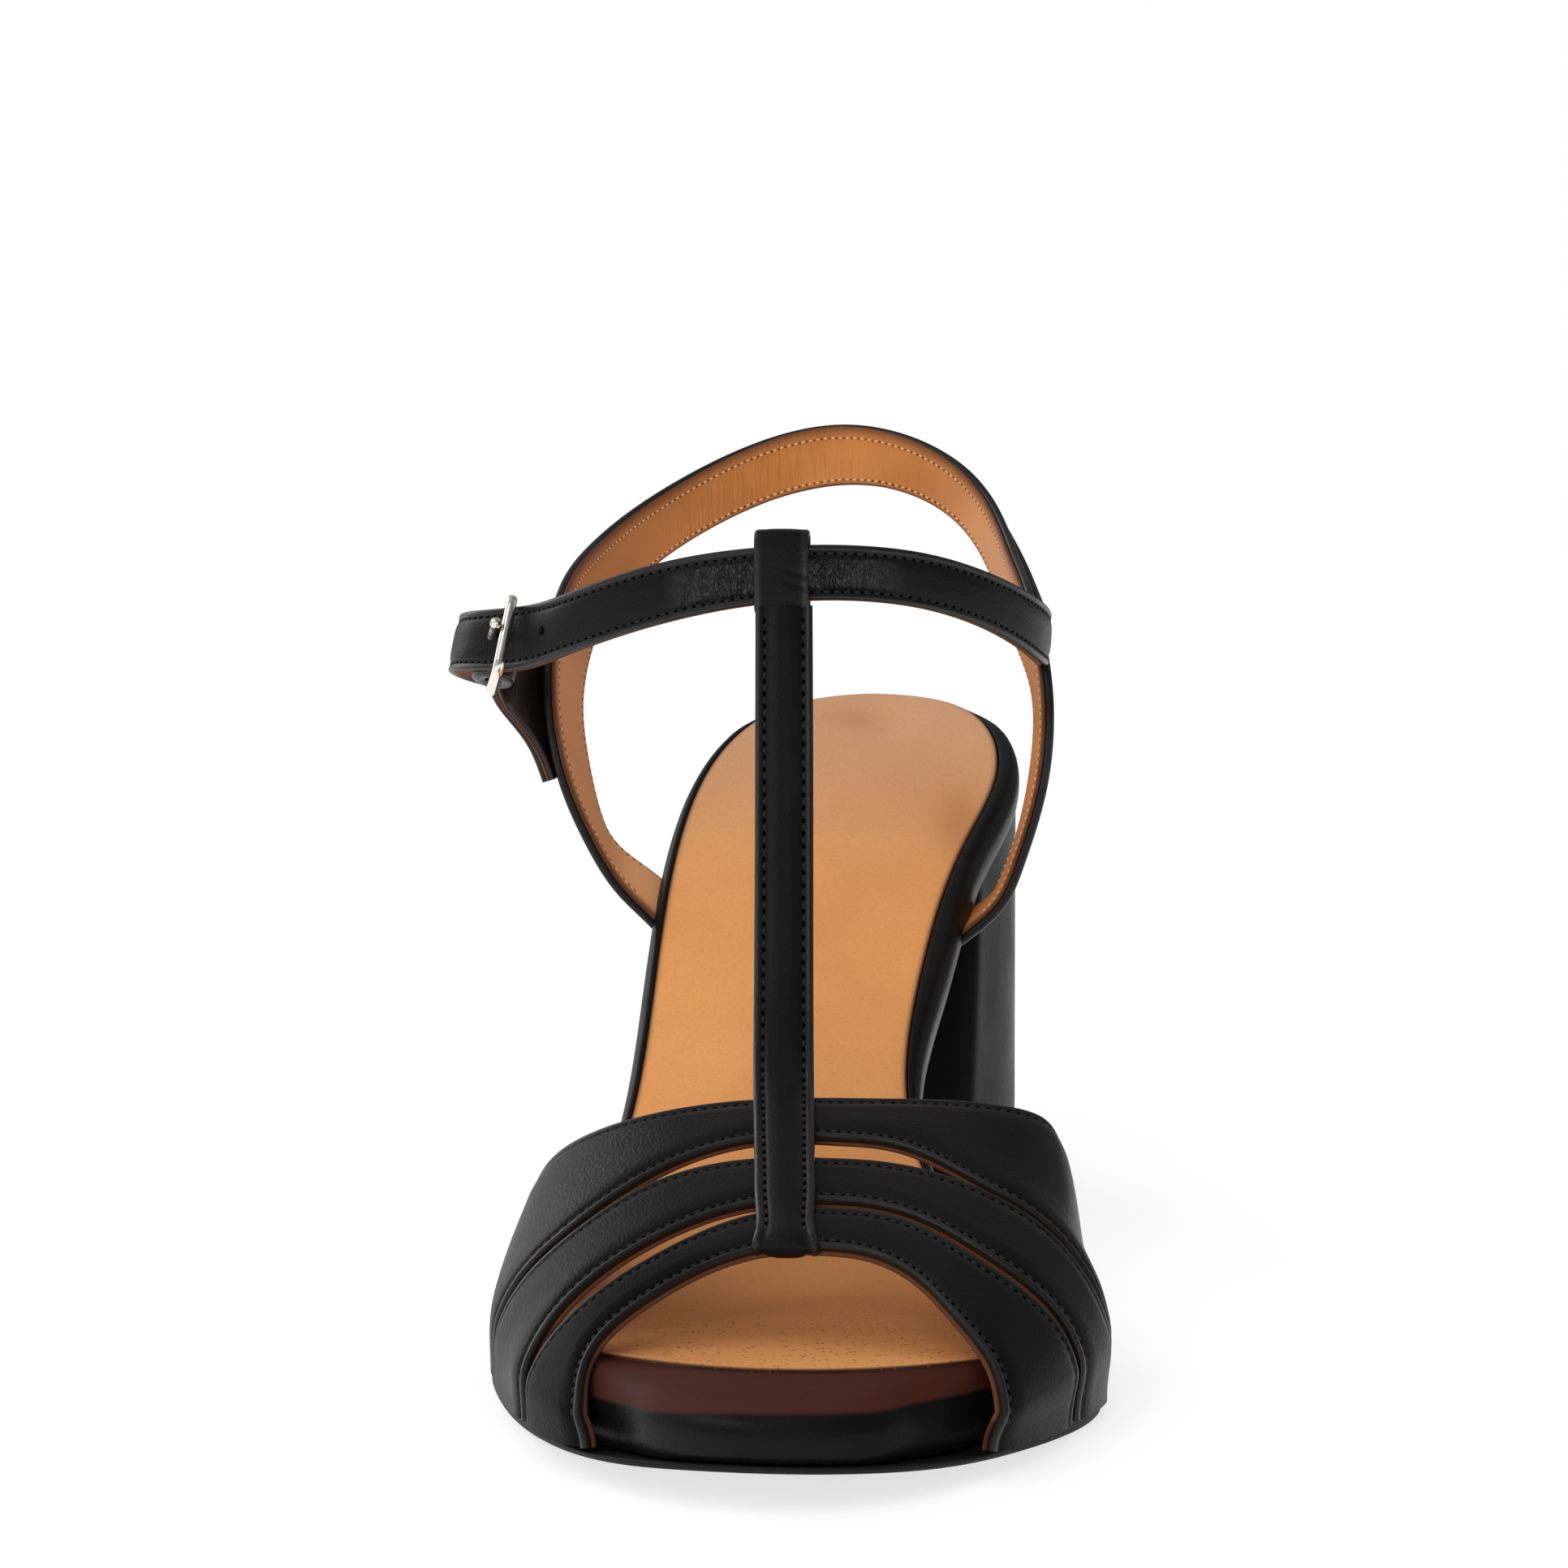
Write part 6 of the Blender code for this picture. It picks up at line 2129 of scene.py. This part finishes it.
@dataclass
class Buckle:
    """Wire frame, prong and folded tab on the outer side of the ankle."""

    bench: Workbench
    frame_wire: float = 1.7
    frame_length: float = 12.2
    frame_depth: float = 11.0
    frame_corner: float = 1.6
    front_bar: Triple = (-51.5, 134.0, 98.1)
    backward: Triple = (-0.24, 0.89, -0.38)
    outward: Triple = (-0.92, -0.30, 0.28)
    play: float = 0.3
    prong_wire: float = 1.3
    prong_tip: float = -1.3
    prong_rise: float = -1.0
    prong_bead: float = 0.4
    tab_thickness: float = 2.2
    tab_width: float = 8.6
    tab_slot: float = 2.2
    tab_sink: float = -0.4
    core_half: float = 0.22
    core_lap: float = 0.04
    core_insets: Pair = (-0.04, 0.05)
    tab_rows: Table = (
        (-47.6, 153.0, 73.6, -45.9, 163.4, 75.0),
        (-50.2, 152.0, 79.8, -47.5, 162.4, 85.6),
        (-54.2, 148.6, 85.6, -50.4, 157.0, 95.0),
    )

    def axes(self) -> tuple[Array, Array, Array]:
        """Unit axes: backward along the strap, outward from the foot, and down the bars."""
        back = unit(np.array(self.backward))
        out = np.array(self.outward)
        out = unit(out - back * np.dot(out, back))
        return back, out, np.cross(out, back)

    def place(self, back: float, down: float, out: float = 0.0) -> Array:
        """Point in the buckle's own axes, from the middle of its front bar."""
        backward, outward, downward = self.axes()
        return np.array(self.front_bar) + backward * back + downward * down + outward * out

    def build(self) -> None:
        """Builds and dresses the buckle."""
        self.build_frame()
        self.build_prong()
        self.build_tab()

    def build_frame(self) -> None:
        """Rectangular wire frame with rounded corners."""
        half, corner = self.frame_length / 2, self.frame_corner
        path = []
        corners = ((0.0, -half), (self.frame_depth, -half), (self.frame_depth, half), (0.0, half))
        for k, (back, down) in enumerate(corners):
            start = math.pi * (1.0 + 0.5 * k)
            middle_back = back + corner * (1 if back == 0.0 else -1)
            middle_down = down + corner * (1 if down < 0 else -1)
            for turn in np.linspace(start, start + math.pi / 2, 9):
                over = middle_down + corner * math.sin(turn)
                path.append(self.place(middle_back + corner * math.cos(turn), over))
        loops = wire(np.array(path), self.frame_wire / 2, self.axes()[1], True, 20)
        made = self.bench.lofted("buckle_frame_wire", loops, True, self.bench.finishes.metal)
        self.bench.declare(made, Slot.BRIGHT_METAL, "buckle_frame")

    def eye_radius(self) -> float:
        """Radius of the prong's eye round the hinge bar."""
        return self.frame_wire / 2 + self.play + self.prong_wire / 2

    def prong_lift(self, back: float) -> float:
        """Height of the prong's middle over the frame's plane."""
        rest = (self.frame_wire + self.prong_wire) / 2 + self.play
        return rest + (self.eye_radius() - rest) * back / self.frame_depth

    def build_prong(self) -> None:
        """Prong: one wire turned round the hinge bar and laid over the front bar, with a rounded tip."""
        radius = self.eye_radius()
        path = []
        for turn in np.radians(np.linspace(-190.0, 90.0, 33)):
            back = self.frame_depth + radius * math.cos(turn)
            path.append(self.place(back, self.prong_rise, radius * math.sin(turn)))
        for back in np.linspace(self.frame_depth - 1.0, self.prong_tip, 26):
            path.append(self.place(back, self.prong_rise, self.prong_lift(back)))
        path = np.array(path)
        end = self.prong_wire / 2
        from_tip = chord_knots(path[::-1])[::-1]
        size = np.full(len(path), end) * (1 + self.prong_bead * hump(from_tip, 0.4, 0.9))
        tips = []
        for t in np.linspace(0.2, 1.0, 6):
            point = path[-1] + unit(path[-1] - path[-2]) * end * t
            tips.append((point, end * math.sqrt(max(1 - t * t, 0.004))))
        path = np.vstack([path, [p for p, _ in tips]])
        size = np.concatenate([size, [r for _, r in tips]])
        loops = wire(path, size, self.axes()[2], False, 18)
        made = self.bench.lofted("buckle_prong_wire", loops, False, self.bench.finishes.metal)
        self.bench.declare(made, Slot.BRIGHT_METAL, "buckle_prong")

    def build_tab(self) -> None:
        """Folded tab: two leathers with a raw core, and sleeves round the hinge bar."""
        finishes = self.bench.finishes
        bore = self.frame_wire / 2 + self.play
        half_width, half = self.tab_width / 2, self.tab_thickness / 2
        reach = self.frame_depth + bore + half
        sink = self.tab_sink
        hinge = [*self.place(reach, half_width, sink), *self.place(reach, -half_width, sink)]
        table = np.vstack([self.tab_rows, hinge])
        surface = StrapSurface.between(path_through(table, 90), (-1.0, -0.3, 0.0))
        outer, core = MeshParts(), MeshParts()
        for low, high in ((-half, -self.core_half), (self.core_half, half)):
            Ribbon(surface, Layer(low, high, columns=8)).add_to(outer, edge_marks)
        inside = self.core_half + self.core_lap
        Ribbon(surface, Layer(-inside, inside, *self.core_insets, columns=4)).add_to(core)
        backward, outward, downward = self.axes()
        ring = []
        for turn in np.linspace(0.0, 2 * math.pi, 48, endpoint=False):
            ring.append((bore + half) * (math.cos(turn) * backward + math.sin(turn) * outward))
        middle = self.place(self.frame_depth, 0.0)
        for near, far in ((self.tab_slot / 2, half_width), (-half_width, -self.tab_slot / 2)):
            rows = [[*(middle + p + downward * near), *(middle + p + downward * far)] for p in ring]
            sleeve = StrapSurface.between(np.array(rows), ring[24], closed=True)
            Ribbon(sleeve, Layer(-half, half, columns=4)).add_to(outer, edge_marks)
        outer.build(self.bench, "buckle_tab_leather", finishes.tab, Slot.BLACK_LEATHER, "buckle_tab")
        core.build(self.bench, "buckle_tab_core", finishes.raw_core, Slot.TAN_LEATHER, "buckle_tab")


# Studio


def stand(name: str, data: bpy.types.ID, place: Vector, toward: Vector) -> Piece:
    """Stands a light or a camera in the scene, looking along a direction."""
    made = bpy.data.objects.new(name, data)
    made.location = place
    made.rotation_mode = "QUATERNION"
    made.rotation_quaternion = toward.to_track_quat("-Z", "Y")
    bpy.context.scene.collection.objects.link(made)
    return made


@dataclass(frozen=True)
class SoftLight:
    """Wide distant light: place and spread in degrees, strength, and whether shiny surfaces mirror it."""

    name: str
    azimuth: float
    elevation: float
    spread: float
    strength: float
    mirrored: bool = True


@dataclass
class Studio:
    """Floor, soft light and the camera of the photograph."""

    bench: Workbench
    camera_place: Triple = (33.5, -436.12, 127.17)
    camera_aim: Triple = (-7.403, 120.0, 76.412)
    focal_pixels: float = 4598.9
    sensor: float = 36.0
    floor_radius: float = 4.0
    floor_sides: int = 96
    floor_drop: float = 0.0003
    glow_reach: float = 0.8
    left_glow: float = 0.46
    right_glow: float = 0.16
    lights: tuple[SoftLight, ...] = (
        SoftLight("top_light", 0.0, 82.0, 80.0, 1.3, False),
        SoftLight("front_light", -10.0, 19.0, 44.0, 1.9, False),
        SoftLight("key_light", -42.0, 46.0, 22.0, 0.24),
        SoftLight("left_light", -122.0, 24.0, 46.0, 0.76),
        SoftLight("right_light", 112.0, 24.0, 46.0, 0.13),
    )

    def build(self) -> None:
        """Builds the studio."""
        self.build_floor()
        self.build_world()
        for light in self.lights:
            self.build_light(light)
        self.build_camera()
        settings = bpy.context.scene.view_settings
        settings.view_transform = "Standard"
        settings.look = "None"

    def build_floor(self) -> None:
        """Wide pale floor."""
        turn = np.linspace(0.0, 2 * math.pi, self.floor_sides, endpoint=False)
        rim = np.stack([np.cos(turn), np.sin(turn), np.zeros(len(turn))], axis=1) * self.floor_radius
        rim[:, 2] = -self.floor_drop
        mesh = bpy.data.meshes.new("studio_floor")
        mesh.from_pydata([tuple(p) for p in rim], [], [tuple(range(len(turn)))])
        mesh.materials.append(FloorPaint().material())
        floor = bpy.data.objects.new("studio_floor", mesh)
        bpy.context.scene.collection.objects.link(floor)

    def build_world(self) -> None:
        """Pale surroundings, brighter on the left, and a white backdrop."""
        world = bpy.data.worlds.new("studio")
        world.use_nodes = True
        tree = world.node_tree
        glow, white = tree.nodes["Background"], (1.0, 1.0, 1.0, 1.0)
        glow.inputs["Color"].default_value = white
        backdrop = add_node(tree, "ShaderNodeBackground", {"Color": white})
        place = add_node(tree, "ShaderNodeTexCoord").outputs["Generated"]
        axes = add_node(tree, "ShaderNodeSeparateXYZ", {0: place})
        span = {"Value": axes.outputs["X"], "From Min": -self.glow_reach, "From Max": self.glow_reach}
        span.update({"To Min": self.left_glow, "To Max": self.right_glow})
        rise = add_node(tree, "ShaderNodeMapRange", span, interpolation_type="SMOOTHSTEP")
        tree.links.new(rise.outputs["Result"], glow.inputs["Strength"])
        seen = add_node(tree, "ShaderNodeLightPath").outputs["Is Camera Ray"]
        both = add_node(tree, "ShaderNodeMixShader", {0: seen, 1: glow.outputs[0], 2: backdrop.outputs[0]})
        tree.links.new(both.outputs[0], tree.nodes["World Output"].inputs["Surface"])
        bpy.context.scene.world = world

    def build_light(self, light: SoftLight) -> None:
        """One wide distant light."""
        lamp = bpy.data.lights.new(light.name, "SUN")
        lamp.angle = math.radians(light.spread)
        lamp.energy = light.strength
        around, up = math.radians(light.azimuth), math.radians(light.elevation)
        toward = Vector((math.sin(around) * math.cos(up), -math.cos(around) * math.cos(up), math.sin(up)))
        stand(light.name, lamp, toward, -toward).visible_glossy = light.mirrored

    def build_camera(self) -> None:
        """Camera at the photograph's viewing angle."""
        lens = bpy.data.cameras.new("photo_camera")
        lens.sensor_width = self.sensor
        lens.sensor_fit = "HORIZONTAL"
        lens.lens = self.focal_pixels * self.sensor / PHOTO_PIXELS
        lens.clip_start, lens.clip_end = 0.01, 50.0
        place = Vector(self.bench.row.metres(self.camera_place))
        aim = Vector(self.bench.row.metres(self.camera_aim))
        bpy.context.scene.camera = stand("photo_camera", lens, place, aim - place)


def main() -> None:
    """Builds the sandal and the studio round it."""
    logging.basicConfig(level=logging.INFO, format="%(message)s")
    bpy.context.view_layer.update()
    last = LastShape()
    bench = Workbench(last, Row(last), Finishes())
    sewing = Sewing(bench)
    SoleUnit(bench).build()
    ToeStraps(bench, sewing).build()
    AnkleStraps(bench, sewing).build()
    Buckle(bench).build()
    Studio(bench).build()
    bpy.context.view_layer.update()


if __name__ == "__main__":
    main()
